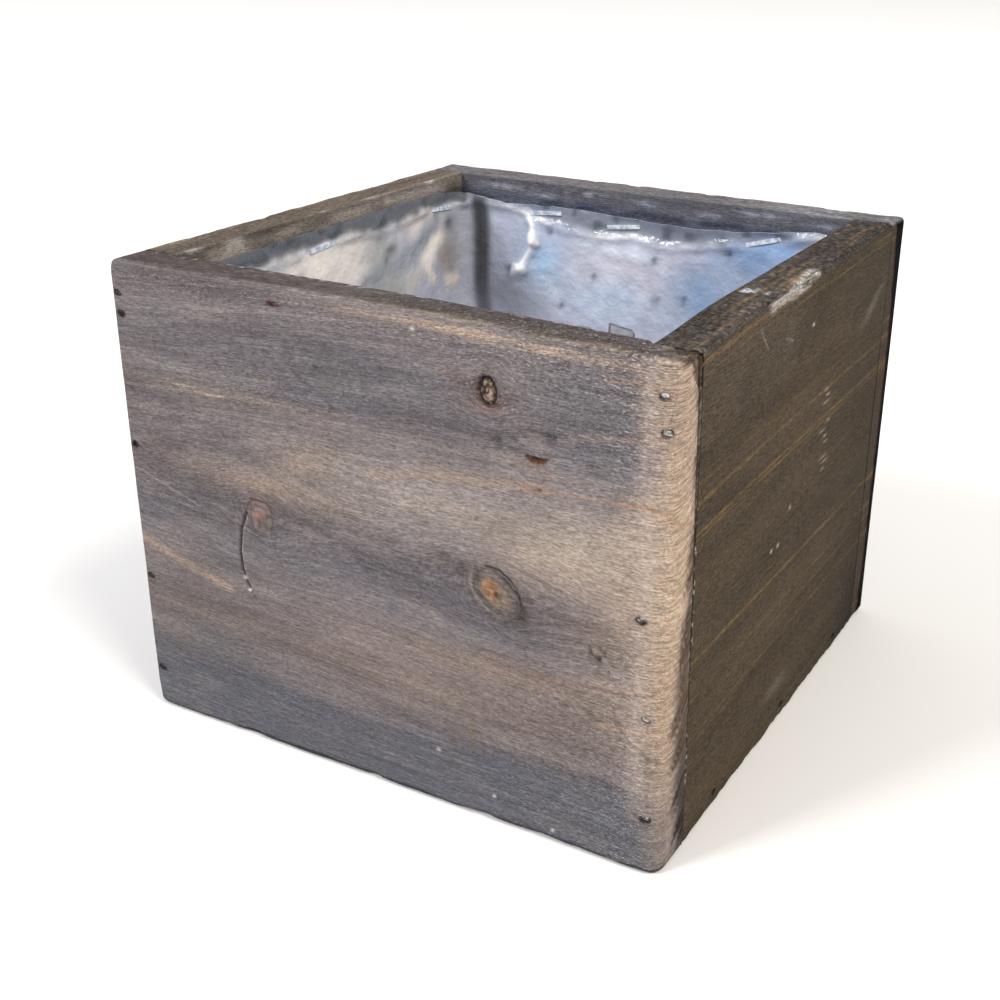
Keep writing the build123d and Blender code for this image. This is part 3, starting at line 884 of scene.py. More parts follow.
# The other three walls: hidden or seen in part, each with its own board, knots and marks
def plainKnot(x, z, wide, high):
    return {
        "x": x, "z": z, "wide": wide, "high": high, "lean": -20, "groove": 0.15, "bark": 0.0,
        "rings": [
            (0.8, 1.5, 0.3, 0.35, "#3d332c"), (0.0, 0.98, 0.06, 0.7, "#55473b"),
            (0.0, 0.45, 0.1, 0.7, "#7b4f33"), (0.0, 0.15, 0.05, 0.7, "#45281b"),
        ],
        "lines": [
            (0.98, 0.05, 0.8, "#241d19", 60), (0.75, 0.04, 0.5, "#3b312b", None),
            (0.6, 0.04, 0.4, "#41362f", 200),
        ],
    }


rightBoard = {
    "name": "rightBoard", "node": "right_board", "turn": 90, "length": 2 * inner, "endsShow": False,
    "leftRound": [(0, 0.3), (rim, 0.3)], "rightRound": [(0, 0.3), (rim, 0.3)],
    "seed": 2.0, "pithHeight": -60.0, "pithDepth": 40.0, "taper": 0.0, "waver": 0.35, "slant": 0.0,
    # Rise of the grain from front to back, by height
    "tilt": [(0, 0.0), (35, -0.6), (50, -1.9), (70, 0.0), (91, 1.6), (rim, 0.8)],
    "paintBase": "#5b5043", "knots": [], "tanPatches": [], "coolPatches": [], "growthLines": [],
    "seams": [(-inner, -halfBox)],
    "nails": [(-43.9, 4.5, 1.2, 0.9), (2.6, 4.5, 1.2, 0.9), (46.4, 4.5, 1.2, 0.9)],
    # Short scuffs in a column: place along the board, height, half length
    "dashes": [(17.6, 90.8, 1.8), (19.4, 89.0, 1.4), (18.2, 87.2, 2.2), (21.2, 81.4, 1.6), (17.0, 79.6, 2.4),
               (19.8, 77.4, 1.3), (20.8, 75.6, 1.6), (20.0, 71.4, 2.4), (21.4, 69.8, 2.0), (20.4, 67.8, 1.2)],
    "specks": [(-15.1, 58.25), (-10.5, 58.0), (-3.75, 65.9), (2.5, 111.9)],
    "scratches": [[(-34.0, 120.0), (-28.5, 114.0)], [(-16.6, 113.5), (-11.6, 111.5)]],
    "fineSpots": [(19.5, 79, 5, 14), (-13, 124, 22, 4.5), (-12, 58, 5, 1.5), (-30, 117, 5, 4),
                  (-14, 112.5, 4, 2)],
    # Dark shadows, a smear near the far end and one near the foot, rows as for layMarks
    "marks": [
        (-5.4, 107, 1.6, 4.5, 0, 0.35, 0, "#352b20"), (-39.75, 111, 3.0, 6.5, 0, 0.30, 0, "#3a3128"),
        (52, 105, 8, 2.0, 0.45, 0.28, 0, "#a59b92"), (-3, 13.5, 7, 2.2, 0, 0.22, 0, "#9c948a"),
    ],
    # White flecks across the rim: X, Y, half sizes
    "flecks": [(-22.0, -72.0, 2.0, 0.7), (-21.4, -69.4, 2.4, 1.1), (-22.2, -67.4, 2.6, 1.3)],
    # Streaks along the rim: depth from its outer edge at the front and at the back, half width, strength
    "rimLines": [(6.5, 4.5, 0.4, 0.65), (2.4, 3.0, 0.5, 0.40), (9.6, 9.0, 0.5, 0.20)],
}


def dressRight(places, flat, paint, stain, deep, upper):
    board = rightBoard
    x, z = places[:, 0], places[:, 2]
    outside, top = outerFace(flat), rimFace(flat)
    patchy = wander(places * (0.5, 1, 1), 1.3, 9) + 0.5 * wander(places * (0.4, 1, 1), 4, 22)
    patchy = ease(-0.35, 0.35, patchy)
    # Way across the rim from its outer edge, below zero on the face
    over = (flat[:, 1] + halfBox) - (rim - flat[:, 2])
    # Rim: ochre lines along it, dark torn fibre towards its back end
    stain[:, 1] = 0.65 * top
    lay(paint, 0.60 * top * patchy, "#352c25")
    for front, back, half, share in board["rimLines"]:
        at = np.interp(x, [-inner, inner], [front, back]) + 0.5 * wander(places * (0.2, 0, 0), 4, front)
        broken = ease(-0.5, 0.3, wander(places * (0.15, 0, 0), 3, front + 1))
        lay(paint, share * bell(over - at, half) * broken * top, "#8f7350")
    arris = bell(over + 2.6, 0.5) * ease(-0.5, 0.3, wander(places * (0.15, 0, 0), 4, 12))
    lay(paint, 0.55 * arris, "#8a6c42")
    torn = ease(0.2, 0.5, wander(places * (0.6, 1, 1), 1.5, 26)) * ease(26, 52, x) * bell(over - 3, 3.5)
    lay(paint, 0.8 * torn, "#1f1813")
    deep += 0.3 * torn
    # The far end and its lower corner are darkest, the upper part a little greyer
    lay(paint, 0.42 * ease(18, 64, x) * outside, "#30281f")
    lay(paint, 0.18 * ease(96, 114, z) * ease(10, -20, x) * outside, "#746a60")
    lay(paint, 0.75 * dab(places, (66, -halfBox, 0), (16, 8, 26)), "#15120f")
    layMarks(places, paint, board["marks"], patchy)
    # Rubbed place on the outer edge of the rim: bare wood with silvery fibres below it
    hair = np.clip(0.55 + 0.9 * wander(places * (0.12, 1, 1), 0.7, 3) + 0.3 * wander(places, 0.5, 4), 0, 1)
    bare = ease(-22, -12, x) * ease(5, -2, x) * bell(over - 2.4, 1.7)
    lay(paint, 0.85 * bare * (0.5 + 0.5 * patchy), "#937c67")
    silver = ease(-33, -22, x) * ease(8, 3, x) * bell(over + 0.7 - 0.05 * (x + 11), 2.0)
    silver = np.maximum(silver, dab(wallPoints(x, over), (2.0, 0, 1.6), (4.5, 1, 1.6)))
    silver *= 0.55 + 0.45 * ease(-0.3, 0.4, wander(places * (0.3, 1, 1), 2.2, 35))
    lay(paint, ease(0.10, 0.70, silver) * hair, "#dedad6")
    deep += 0.3 * ease(0.3, 0.7, silver)
    # White flecks across the rim, short scuffs, scratches and specks
    for fx, fy, rx, ry in board["flecks"]:
        torn = np.clip(0.8 + 0.9 * wander(places, 1.0, 5), 0, 1.2)
        fleck = torn * dab(places, (fx, fy, rim), (rx, ry, 1.5))
        lay(paint, 0.9 * ease(0.25, 0.5, fleck), "#c6cacd")
    for dx, dz, half in board["dashes"]:
        lay(paint, 0.75 * faceDab(places, dx, dz, half, 0.28), "#b9ab99")
    for route in board["scratches"]:
        lay(paint, 0.35 * bell(lineDistance(places, route), 0.35) * outside, "#a39a90")
    for sx, sz in board["specks"]:
        lay(paint, 0.8 * faceDab(places, sx, sz, 0.7, 0.45), "#cdc6bd")
    stain[:, 3] = 0.15 * outside + 0.55 * top
    # Dark joints at both ends, with crumbs of dried glue at the front
    sides = bell(np.abs(flat[:, 0]) - inner, 0.5) * np.where(x > 0, 0.35, 1.0)
    lay(paint, 0.75 * sides * outside, "#1f1a16")
    crumbs = ease(0.35, 0.50, wander(places * (1, 1, 0.7), 0.7, 7) + 0.35 * wander(places, 6, 27))
    lay(paint, 0.70 * crumbs * bell(flat[:, 0] + inner - 0.5, 0.45) * outside, "#c4bcb3")


# The front end follows the leaning joint and the sinking rim of the front board
def settleRight(places, flat):
    shifted = places.copy()
    shifted[:, 0] += leanAt(places[:, 2]) * ease(10 - inner, -inner, flat[:, 0])
    shifted[:, 2] -= frontBoard["sag"] * ease(30 - inner, -inner, flat[:, 0]) * (places[:, 2] / rim) ** 2
    return shifted


rightBoard["dress"] = dressRight
rightBoard["settle"] = settleRight

# The right board's darker tones are partly its stain and partly painted shade for its shaded side
rightShadedPine = {
    "dark": "#43382a", "mid": "#514534", "light": "#61554a", "paleAmount": 0.42, "deep": "#332b24",
    "shadeAmount": 0.42, "patch": "#54493c", "patchAmount": 0.45, "tan": "#6f6257", "cool": "#48484c",
    "line": "#8a6f43", "bare": "#b59a7a", "bareDark": "#8a6f54", "dust": "#8f877d", "fibreDark": 0.62,
    "fibreLight": 1.42, "napShadeLeast": 0.38, "napShadeMost": 0.52, "brightness": 0.77, "gloss": 0.10,
    # Heights of the late wood lines, half width, strength
    "lines": [(5.6, 0.4, 0.35), (29.4, 0.35, 0.55), (35.25, 0.35, 0.50), (39.75, 0.4, 0.60),
              (49.5, 0.6, 0.80), (82.0, 0.35, 0.60), (83.4, 0.5, 0.95), (91.0, 0.45, 0.80),
              (95.9, 0.35, 0.60), (120.0, 0.35, 0.60)],
}

backBoard = {
    "name": "backBoard", "node": "back_board", "turn": 180, "length": 2 * halfBox, "endsShow": True,
    "leftRound": [(0, 1.0), (rim, 1.0)], "rightRound": [(0, 1.0), (rim, 1.0)],
    "seed": 3.0, "pithHeight": 30.0, "pithDepth": 22.0, "taper": 0.05, "waver": 1.1, "slant": 0.1,
    "paintBase": "#6f6561",
    "knots": [plainKnot(-30, 82, 5.5, 4.6), plainKnot(44, 34, 3.4, 3.6)],
    "nails": [
        (72.6, 116.25, 1.3, 0.9), (71.4, 105.6, 1.3, 0.9), (73.0, 70.0, 1.3, 0.8), (72.2, 36.25, 1.3, 0.9),
        (72.8, 13.75, 1.3, 0.9), (-73.2, 115.6, 1.3, 0.9), (-72.4, 97.5, 1.3, 0.9), (-71.2, 63.75, 1.3, 0.9),
        (-73.0, 41.25, 1.3, 0.8), (-72.1, 13.1, 1.3, 0.9),
    ],
    "tanPatches": [(-50, 50, 34, 4, 0.1, 0.4), (10, 100, 52, 3.5, -0.04, 0.4), (40, 66, 40, 5, 0.05, 0.35),
                   (-10, 26, 52, 4, 0.03, 0.3), (60, 112, 20, 3, 0.0, 0.35)],
    "coolPatches": [(0, 60, 40, 9, 0.05, 0.5), (-50, 104, 26, 6, 0.0, 0.5), (50, 88, 24, 5, 0.0, 0.45)],
    "fineSpots": [], "growthLines": [], "seams": [], "specks": [],
    # Dark end grain painted near black as deep shade, on the end beside the right board: height, width from
    # the outer edge
    "shadedEnd": [(0, 6.5), (20, 4.5), (90, 4.5), (112, 6.4), (rim, 8.0)],
    # Whitish patches on the inner face: place along the board, drop from the rim, half length
    "blooms": [(18, 2.4, 8), (-1, 3.0, 5), (-38, 2.2, 7), (50, 3.0, 7), (34, 4.6, 6), (-20, 4.2, 6),
               (-56, 3.4, 5)],
}


def dressBack(places, flat, paint, stain, deep, upper):
    board = backBoard
    x, z = places[:, 0], places[:, 2]
    inside, top = innerFace(places), rimFace(flat)
    foot = (1 - ease(10, 18, z + 2 * wander(places, 20, 5))) * outerFace(flat)
    stain[:, 1] = np.maximum(stain[:, 1], np.maximum(0.9 * foot, 0.8 * inside))
    # Whitish bloom on the inner face above the film, bluish wood behind it, the blue a painted sky
    # reflection, with a painted shadow line along the film's upper edge
    cloudy = np.clip(0.6 + wander(places, 2, 6), 0, 1)
    for px, drop, rx in board["blooms"]:
        lay(paint, 0.8 * dab(places, (px, wall - halfBox, rim - drop), (rx, 2, 0.9)) * cloudy, "#b0b4c4")
    lay(paint, 0.55 * inside * ease(rim - 4, rim - 6, z), "#6b7187")
    # Painted shadow under the film's upper edge
    shade = bell(z - 118.2 - 0.8 * wander(places * (1, 0, 0), 6, 38), 1.2) * inside
    lay(paint, 0.65 * shade * ease(-0.6, 0.3, wander(places * (0.5, 0, 1), 3, 44)), "#282c3a")
    stain[:, 2] = 0.2 * bell(upper - 2.2, 1.2) * np.clip(0.6 + wander(places, 6, 7), 0, 1)
    # The rim is greyer, with a painted silvery sheen towards the right board
    lay(paint, 0.65 * top, "#747377")
    rimSheen = ease(-20, -66, x) * ease(-0.5, 0.4, wander(places * (0.3, 1, 1), 3, 47))
    lay(paint, 0.50 * top * rimSheen, "#a3a4a9")
    # The end beside the right board is stained like it, with its lines carried on, and painted near black
    # along its outer edge as deep shade
    end = ease(-halfBox + 3.0, -halfBox + 0.6, x) * ease(rim - 0.3, rim - 1.5, z)
    stain[:, 3] = 0.20 * (1 - end)
    lay(paint, 0.92 * end, "#463c32")
    for at, half, share in rightShadedPine["lines"]:
        line = bell(z - at - 0.54 * np.interp(at, *zip(*rightBoard["tilt"])), half + 0.2)
        lay(paint, 0.5 * share * line * end, rightShadedPine["line"])
    # Painted deep shade, near black, along the outer edge of the end
    past = flat[:, 1] + halfBox - np.interp(z, *zip(*board["shadedEnd"])) - 0.6 * wander(places, 4, 9)
    lay(paint, 0.98 * end * ease(0.9, -0.9, past), "#060504")


backBoard["dress"] = dressBack

backPine = dict(frontPine, dark="#615a5b", mid="#7a7170", light="#968a80", tan="#998672", cool="#63666f",
                gloss=0.02)

leftBoard = {
    "name": "leftBoard", "node": "left_board", "turn": 270, "length": 2 * inner, "endsShow": False,
    "leftRound": [(0, 0.3), (rim, 0.3)], "rightRound": [(0, 0.3), (rim, 0.3)],
    "seed": 4.0, "pithHeight": 70.0, "pithDepth": 24.0, "taper": 0.05, "waver": 1.0, "slant": 0.0,
    "paintBase": "#665a4f", "knots": [plainKnot(-22, 46, 4.8, 4.4), plainKnot(38, 96, 2.6, 3.0)],
    "nails": [(43.9, 4.5, 1.2, 0.9), (-2.6, 4.5, 1.2, 0.9), (-46.4, 4.5, 1.2, 0.9)],
    "tanPatches": [(-20, 80, 48, 4, 0.05, 0.4), (30, 60, 42, 5, 0.0, 0.35), (-40, 24, 36, 4, 0.04, 0.35),
                   (10, 108, 50, 3, 0.0, 0.3)],
    "coolPatches": [(20, 36, 34, 7, 0.0, 0.5), (-40, 100, 22, 6, 0.0, 0.5)],
    "fineSpots": [], "growthLines": [], "seams": [], "specks": [],
}


def dressLeft(places, flat, paint, stain, deep, upper):
    z = places[:, 2]
    outside, inside = outerFace(flat), innerFace(places)
    foot = (1 - ease(10, 16, z + 2 * wander(places, 20, 5))) * outside
    stain[:, 1] = np.maximum(stain[:, 1], 0.9 * foot)
    # Greyish inner face above the film, smeared pale and dark, with a painted shadow line along the film's
    # edge
    lay(paint, 0.75 * inside * np.clip(0.7 + wander(places * (0.3, 1, 1), 4, 8), 0, 1), "#b3aba2")
    lay(paint, 0.45 * inside * ease(rim - 2.5, rim - 0.5, z), "#4d443c")
    lay(paint, 0.7 * inside * ease(0.15, 0.6, wander(places * (0.4, 1, 1), 3.0, 36)), "#c8c1b8")
    lay(paint, 0.6 * inside * ease(0.25, 0.6, wander(places * (0.3, 1, 1), 5.0, 37)), "#564c42")
    # Painted shadow along the film's upper edge
    shade = bell(z - 119 - 0.8 * wander(places * (1, 0, 0), 6, 38), 1.5) * inside
    lay(paint, 0.70 * shade, "#3b3f47")
    stain[:, 2] = 0.25 * bell(upper - 2.2, 1.2) * np.clip(0.5 + wander(places, 6, 7), 0, 1)
    stain[:, 3] = 0.25
    lay(paint, 0.7 * bell(np.abs(flat[:, 0]) - inner, 0.6) * outside, "#1f1a16")


leftBoard["dress"] = dressLeft

leftPine = dict(frontPine, dark="#584d44", mid="#6f6357", light="#8b7c6d", tan="#9d8468", cool="#5a5754",
                deep="#3f3731", patch="#6a6058")

# Base: unstained pine, planed, lying across the box
basePine = dict(frontPine, dark="#a5835c", mid="#bd9a70", light="#d0b088", tan="#c7a377", cool="#8c775c",
                deep="#8a6a48", patch="#b08d63", paleAmount=0.4, shadeAmount=0.35, brightness=0.95,
                napShadeLeast=0.08)
baseBoard = {"cells": (90, 90, 10), "crowd": (0.5, 0.5, 0.4), "edge": 0.5}


def makeBase(material):
    bm = cutBlock(baseLow, baseHigh, baseBoard["cells"], baseBoard["crowd"])
    rims = [e for e in bm.edges if len(e.link_faces) == 2 and e.calc_face_angle(0) > 1]
    bmesh.ops.bevel(bm, geom=rims, offset=baseBoard["edge"], segments=2, profile=0.5, affect="EDGES",
                    material=-1)
    mesh = meshOf(bm, "baseBoard")
    flat = readCorners(mesh)
    x, y, z = flat.T
    # Saw marks on the underside
    saw = 0.05 * np.sin(x / 1.1 + 0.8 * wander(flat, 12, 3)) * (z < 1)
    normal = readCorners(mesh, "normal")
    writeCorners(mesh, flat - normal * np.clip(0.06 + saw, 0, None)[:, None])
    ring = np.sqrt((z + 18) ** 2 + (y - 14) ** 2) + 0.06 * x + 1.2 * wander(flat / (3, 1, 1), 14, 5)
    writeLayer(mesh, "grain", "FLOAT_VECTOR", np.stack([x, ring, y], 1))
    writeLayer(mesh, "stain", "FLOAT_COLOR", np.zeros((len(flat), 4)))
    writeLayer(mesh, "paint", "FLOAT_COLOR", np.tile(toLinear(basePine["mid"]) + [0.0], (len(flat), 1)))
    return finishPiece("baseBoard", mesh, material, "base_board")


# Liner: clear polyethylene film pushed into the box, milky where it is creased and dusty; its colours hold
# painted reflections, highlights and shade
film = {
    # Bluish white: the film's own grey-white with a painted sky reflection in it
    "colour": "#c2c6d4",
    "hazeSize": 5.0,
    "crumpleSize": 2.5,
    "cells": (100, 100, 62),
    "crowd": 1.6,
    "clear": 0.1,
    "cornerRound": 6.0,
    "foldRound": 5.0,
    "thickness": 0.2,
    "flat": (0.347, 0.347),
    "area": 0.0745,
    # Staples of each wall: place along the wall, drop below the rim
    "staples": {
        "front": [(40.0, 10.5), (-6.5, 9.8), (-46.4, 10.8)],
        "back": [(-33.5, 9.6), (-6.5, 10.8), (38.7, 9.8)],
        "left": [(-42.6, 10.2), (-9.0, 9.5), (51.6, 9.4)],
        "right": [(38.7, 10.6), (-2.6, 9.7), (-42.6, 10.3)],
    },
    # Upper edge: place along the wall, height; two loose tabs stand up behind the front board
    "edges": {
        "front": [(-64, 117), (45.4, 117), (45.8, 123.9), (49.4, 124.2), (49.8, 117), (52.9, 117),
                  (53.3, 125.6), (59.6, 124.8), (60.0, 117), (64, 117)],
        "back": [(-64, 119), (-56, 118.6), (-48, 117.2), (-23, 117.8), (11, 116.8), (30, 117), (54, 120),
                 (64, 119.5)],
        "left": [(-64, 121.5), (-45, 120.6), (-5, 120.8), (19, 121.2), (45, 121.2), (56, 120), (64, 119)],
        "right": [(-64, 116.5), (-20, 117.5), (10, 116.8), (64, 117.6)],
    },
    # Outline of the larger tab: X, height
    "tabEdge": [(53.5, 119), (53.5, 125.5), (59.4, 124.7), (59.4, 119)],
    # Folds that hang between the staples: clear film above them, milky film below
    "swags": {
        "front": [(-64, 114), (-46, 114.5), (-26, 111), (-6, 114.5), (18, 111), (40, 114.5), (64, 113)],
        "back": [(-64, 116.5), (-53, 116.6), (-46, 116), (-40, 114.6), (-34, 113.2), (-30, 112), (-24, 110.9),
                 (-16, 110.1), (-11, 110.6), (-7, 111.4), (-2, 112.6), (0, 111.2), (5, 109.9), (12, 110.3),
                 (20, 111.7), (28, 113), (35, 113.6), (40, 114.6), (46, 116.4), (54, 118.5), (64, 118.5)],
        "left": [(-64, 114), (-43, 115), (-20, 115.4), (-4, 116.4), (6, 116.2), (20, 114.6), (42, 116.6),
                 (64, 116)],
        "right": [(-64, 114), (-42, 114.5), (-22, 111), (-3, 114.5), (18, 111), (38, 114.5), (64, 114)],
    },
    # Other creases: points along the wall and up, height, half width
    "creases": {
        "front": [],
        "back": [
            ([(-39.8, 114.4), (-37.9, 111.1), (-36.8, 106.9), (-38.2, 103.8), (-40.6, 99.9), (-42.6, 96.4),
              (-44.8, 95.1)], 1.0, 2.4),
        ],
        "left": [
            ([(50, 116), (40, 108), (25, 103), (8, 101)], 0.5, 5.0),
            ([(49, 108), (44, 101), (43, 92)], 0.5, 4.0),
        ],
        "right": [],
    },
    # Dark dents in the back wall's film: X, height
    "spots": [(-15.9, 97.4), (4.6, 105.3), (5.3, 92.9), (14.6, 94.2), (-27.2, 87.2), (-31.9, 109.9),
              (28.4, 110.5), (-46.8, 96.2)],
    # Stiff puckers of the back wall's crease, raised to catch the light and painted white as a highlight: X,
    # height, half sizes, depth
    "puckers": [(-38.0, 107.4, 1.7, 2.2, 1.4), (-37.0, 105.8, 2.0, 1.3, 0.8), (-42.4, 96.8, 2.8, 1.9, 1.6)],
    # Milky tints, mostly painted reflections, bluish sky on the back wall and a warm bright wall on the left,
    # with grey patches of painted shade and a few dark spots: place along the wall, height, half sizes,
    # share, colour
    "reflectionAndShadeTints": {
        "back": [
            (-47, 106, 8, 14, 0.85, "#bcc3d8"), (-46, 89, 12, 6, 0.85, "#a3a5b0"),
            (-33, 100, 8, 8, 0.90, "#a6caec"), (-31, 108, 7, 4, 0.65, "#c3d4f4"),
            (-6, 102, 20, 12, 0.95, "#dedce8"), (-12, 90, 16, 7, 0.80, "#cbdcf2"),
            (-4, 108, 20, 2.2, 0.80, "#e8f2ff"), (20, 96, 10, 12, 0.92, "#8fabcb"),
            (13, 108, 9, 4, 0.60, "#e2e0ec"), (36, 110, 12, 7, 0.90, "#84a4cc"),
            (44, 114, 7, 3, 0.80, "#9cc0ee"), (46, 98, 12, 8, 0.80, "#8fabcf"),
        ],
        "left": [
            (-10, 109, 26, 12, 0.95, "#fff6ea"), (8, 112, 8, 6, 0.80, "#f4ece0"),
            (17, 106, 6, 12, 0.90, "#b9bab4"), (23.5, 109.0, 2.8, 2.2, 0.95, "#565856"),
            (21, 106.2, 1.4, 1.4, 0.90, "#484a48"), (-19, 110, 1.8, 1.6, 0.7, "#5f6468"),
            (18.5, 113.5, 2.0, 2.0, 0.70, "#8b8d88"), (24, 97, 16, 5, 0.90, "#b5b7b1"),
            (37, 114.5, 11, 4.5, 0.95, "#efe4d8"), (44, 117, 4, 1.5, 0.90, "#fff3e4"),
            (56, 104, 9, 16, 0.90, "#a8aaac"), (53, 101, 4.5, 5, 0.90, "#a0938c"),
            (55.5, 110, 2.8, 2.0, 0.90, "#54585c"), (34, 96.5, 5, 3, 0.80, "#e6ddd2"),
        ],
        "front": [],
        "right": [],
    },
    # Streaks over the tints: painted highlights in white and cream, and on the left wall one grey streak of
    # painted shade along the crease: points along the wall and up, half width, share, colour
    "streaks": {
        "back": [
            ([(-34, 97), (-28, 89)], 0.8, 0.55, "#eef4ff"),
            ([(-12, 113.4), (-20, 112.4), (-30, 114.4)], 1.2, 0.50, "#dbe9ff"),
        ],
        "left": [
            ([(51, 116.5), (40, 108.2), (25, 103.2), (8, 101)], 2.6, 0.85, "#8f959b"),
            ([(48.5, 107.5), (45, 104.5), (40.5, 101.5)], 2.9, 0.98, "#fff6e8"),
            ([(41.5, 98.2), (45, 94.8)], 1.5, 0.95, "#fff2df"),
            ([(53.5, 93.5), (58, 92)], 2.0, 0.90, "#ffeede"),
        ],
        "front": [],
        "right": [],
    },
}


# Wall by wall: place along the wall in world axes, and how far a point lies out on that wall
def filmWalls(flat):
    x, y, z = flat.T
    return {"front": (x, -y), "back": (x, y), "left": (y, -x), "right": (y, x)}


# Rounds the block's upright corners and the fold round its floor: places, ways out, depth below the walls
def roundBag(flat, low, high):
    x, y, z = (flat[:, i].copy() for i in range(3))
    radius = film["cornerRound"]
    vx, vy = np.abs(x) - (high[0] - radius), np.abs(y) - (high[1] - radius)
    spot = (vx > 0) & (vy > 0)
    reach, length = np.maximum(vx, vy)[spot], np.hypot(vx, vy)[spot]
    outX, outY = np.where(vx > vy, np.sign(x), 0.0), np.where(vy >= vx, np.sign(y), 0.0)
    outX[spot] = np.sign(x[spot]) * vx[spot] / length
    outY[spot] = np.sign(y[spot]) * vy[spot] / length
    x[spot] = np.sign(x[spot]) * (high[0] - radius + vx[spot] * reach / length)
    y[spot] = np.sign(y[spot]) * (high[1] - radius + vy[spot] * reach / length)
    depth = np.minimum(high[0] - np.abs(flat[:, 0]), high[1] - np.abs(flat[:, 1]))
    depth[spot] = radius - reach
    across, upright = roundEdge(film["foldRound"], depth, z - low[2])
    return x - outX * across, y - outY * across, z + upright, outX, outY, depth


def makeFilm(material):
    low, high = filmLow + film["clear"], filmHigh - film["clear"]
    low[2], high[2] = filmLow[2] + 0.1, filmHigh[2]
    halfX, halfY = high[0], high[1]
    bm = cutBlock(low, high, film["cells"], (0.15, 0.15, 0.0))
    bmesh.ops.delete(bm, geom=[f for f in bm.faces if f.normal.z > 0.5], context="FACES")
    # Rows are closer together near the top, where the creases are
    for v in bm.verts:
        share = min(1.0, (v.co.z - low[2]) / (high[2] - low[2]))
        v.co.z = low[2] + (high[2] - low[2]) * (1 - (1 - share) ** film["crowd"])
    refine(bm, [((53, low[1], high[2]), (9, 1, 6)), ((-39, high[1], 105), (6, 1, 12))], 0.5)
    mesh = meshOf(bm, "filmLiner")
    flat = readCorners(mesh)
    x, y, z, outX, outY, depth = roundBag(flat, low, high)
    onWall = 1 - ease(0.05, 4.0, depth)
    places = np.stack([x, y, z], 1)

    # Crumple: sharp ridges at two sizes, always inwards
    crumple = np.clip(1 - 2.4 * np.abs(wander(places, 26, 2)), 0, 1) ** 2
    small = np.clip(1 - 2.6 * np.abs(wander(places, 10, 3)), 0, 1) ** 2
    soft = 0.5 + 0.5 * wander(places, 34, 4)
    inward = 0.1 + 0.5 * soft + 0.5 * crumple + 0.25 * small
    filmColourAndLight = np.tile(rgba(film["colour"]), (len(flat), 1))
    milky = np.ones(len(flat))
    # Upper edge: the top rows are pulled to their height, which is shared at the corners
    rise, count = np.zeros(len(flat)), np.zeros(len(flat))
    for side, (along, onto) in filmWalls(flat).items():
        here = ease(halfX - 6, halfX - 0.3, onto)
        edge = np.interp(along, *zip(*film["edges"][side]))
        rise += here * (edge - high[2] + 0.4 * wander(wallPoints(along), 4, 8) * (side != "front"))
        count += here
    z += rise / np.maximum(count, 1) * ease(100, high[2], z) * onWall
    for side, (along, onto) in filmWalls(flat).items():
        here = ease(halfX - 6, halfX - 0.3, onto)
        level, wallPoint = wallPoints(along), wallPoints(along, z)
        warped = wallPoint + 1.6 * wallPoints(wander(wallPoint, 5, 31), wander(wallPoint, 5, 32))
        # Painted reflections and shade in the film's tints
        for px, pz, rx, rz, share, shade in film["reflectionAndShadeTints"][side]:
            lay(filmColourAndLight, share * dab(warped, (px, 0, pz), (rx, 1, rz)) * here, shade)
        # Painted highlights and shade in the streaks
        for route, half, share, shade in film["streaks"][side]:
            lay(filmColourAndLight, share * bell(lineDistance(warped, route), half) * here, shade)
        # The hanging fold: a soft ridge with a painted white highlight along its crest, and clearer film
        # above it
        swag = np.interp(along, *zip(*film["swags"][side])) + 0.5 * wander(level, 7, 11)
        inward += here * (0.8 + 0.5 * wander(level, 9, 14)) * ease(2.6, 0.0, np.abs(z - swag))
        milky -= here * ease(-0.3, 2.2, z - swag + 0.8 * wander(wallPoint, 3, 33))
        crestHighlight = bell(z - swag, 0.6) * np.clip(0.35 + 1.2 * wander(level, 6, 12), 0, 1)
        for route, tall, wide in film["creases"][side]:
            away = lineDistance(wallPoint, route)
            inward += here * tall * np.clip(1 - away / wide, 0, 1)
            crestHighlight = np.maximum(crestHighlight, (tall >= 1) * bell(away, 0.75))
        # Painted highlight: white along the crest of the fold and of the tall crease
        lay(filmColourAndLight, 0.95 * crestHighlight * here, "#ffffff")
        # Free edge between the staples stands off the wall a little
        lean = ease(rim - 11, rim - 7, z) * here
        inward += lean * np.clip(0.5 + 0.8 * wander(level, 13, 6), 0, None)
        for place, drop in film["staples"][side]:
            pin = np.exp(-(((along - place) / 8.5) ** 4 + ((z - rim + drop) / 2.8) ** 4)) * here
            inward *= 1 - 0.99 * pin
    onBack = ease(halfY - 2, halfY - 0.5, flat[:, 1])
    for px, pz, rx, rz, tall in film["puckers"]:
        pucker = bell(flat[:, 0] - px, rx) * bell(z - pz, rz) * onBack
        inward += tall * pucker
        # Painted white highlight on the pucker
        lay(filmColourAndLight, ease(0.25, 0.6, pucker), "#ffffff")
    for px, pz in film["spots"]:
        dent = bell(np.hypot(flat[:, 0] - px, z - pz), 1.15) * onBack
        inward -= 0.3 * dent
        lay(filmColourAndLight, 0.90 * dent, "#414a5e")
    inward = np.clip(inward, 0.02, None) * onWall
    floorLift = (1 - onWall) * (0.15 + 0.5 * soft + 0.6 * crumple + 0.3 * small)
    places = np.stack([x - outX * inward, y - outY * inward, z + floorLift], 1)
    writeCorners(mesh, places)

    # Painted shade beside the far left corner, where the film bridges the corner
    cornerShade = np.exp(-((flat[:, 0] + 56.7 + 0.8 * wander(places * (0, 0, 1), 9, 39)) / 3.3) ** 4)
    cornerShade *= ease(halfY - 4, halfY - 1, flat[:, 1]) * ease(55, 95, z)
    lay(filmColourAndLight, 0.92 * cornerShade, "#3c3c41")
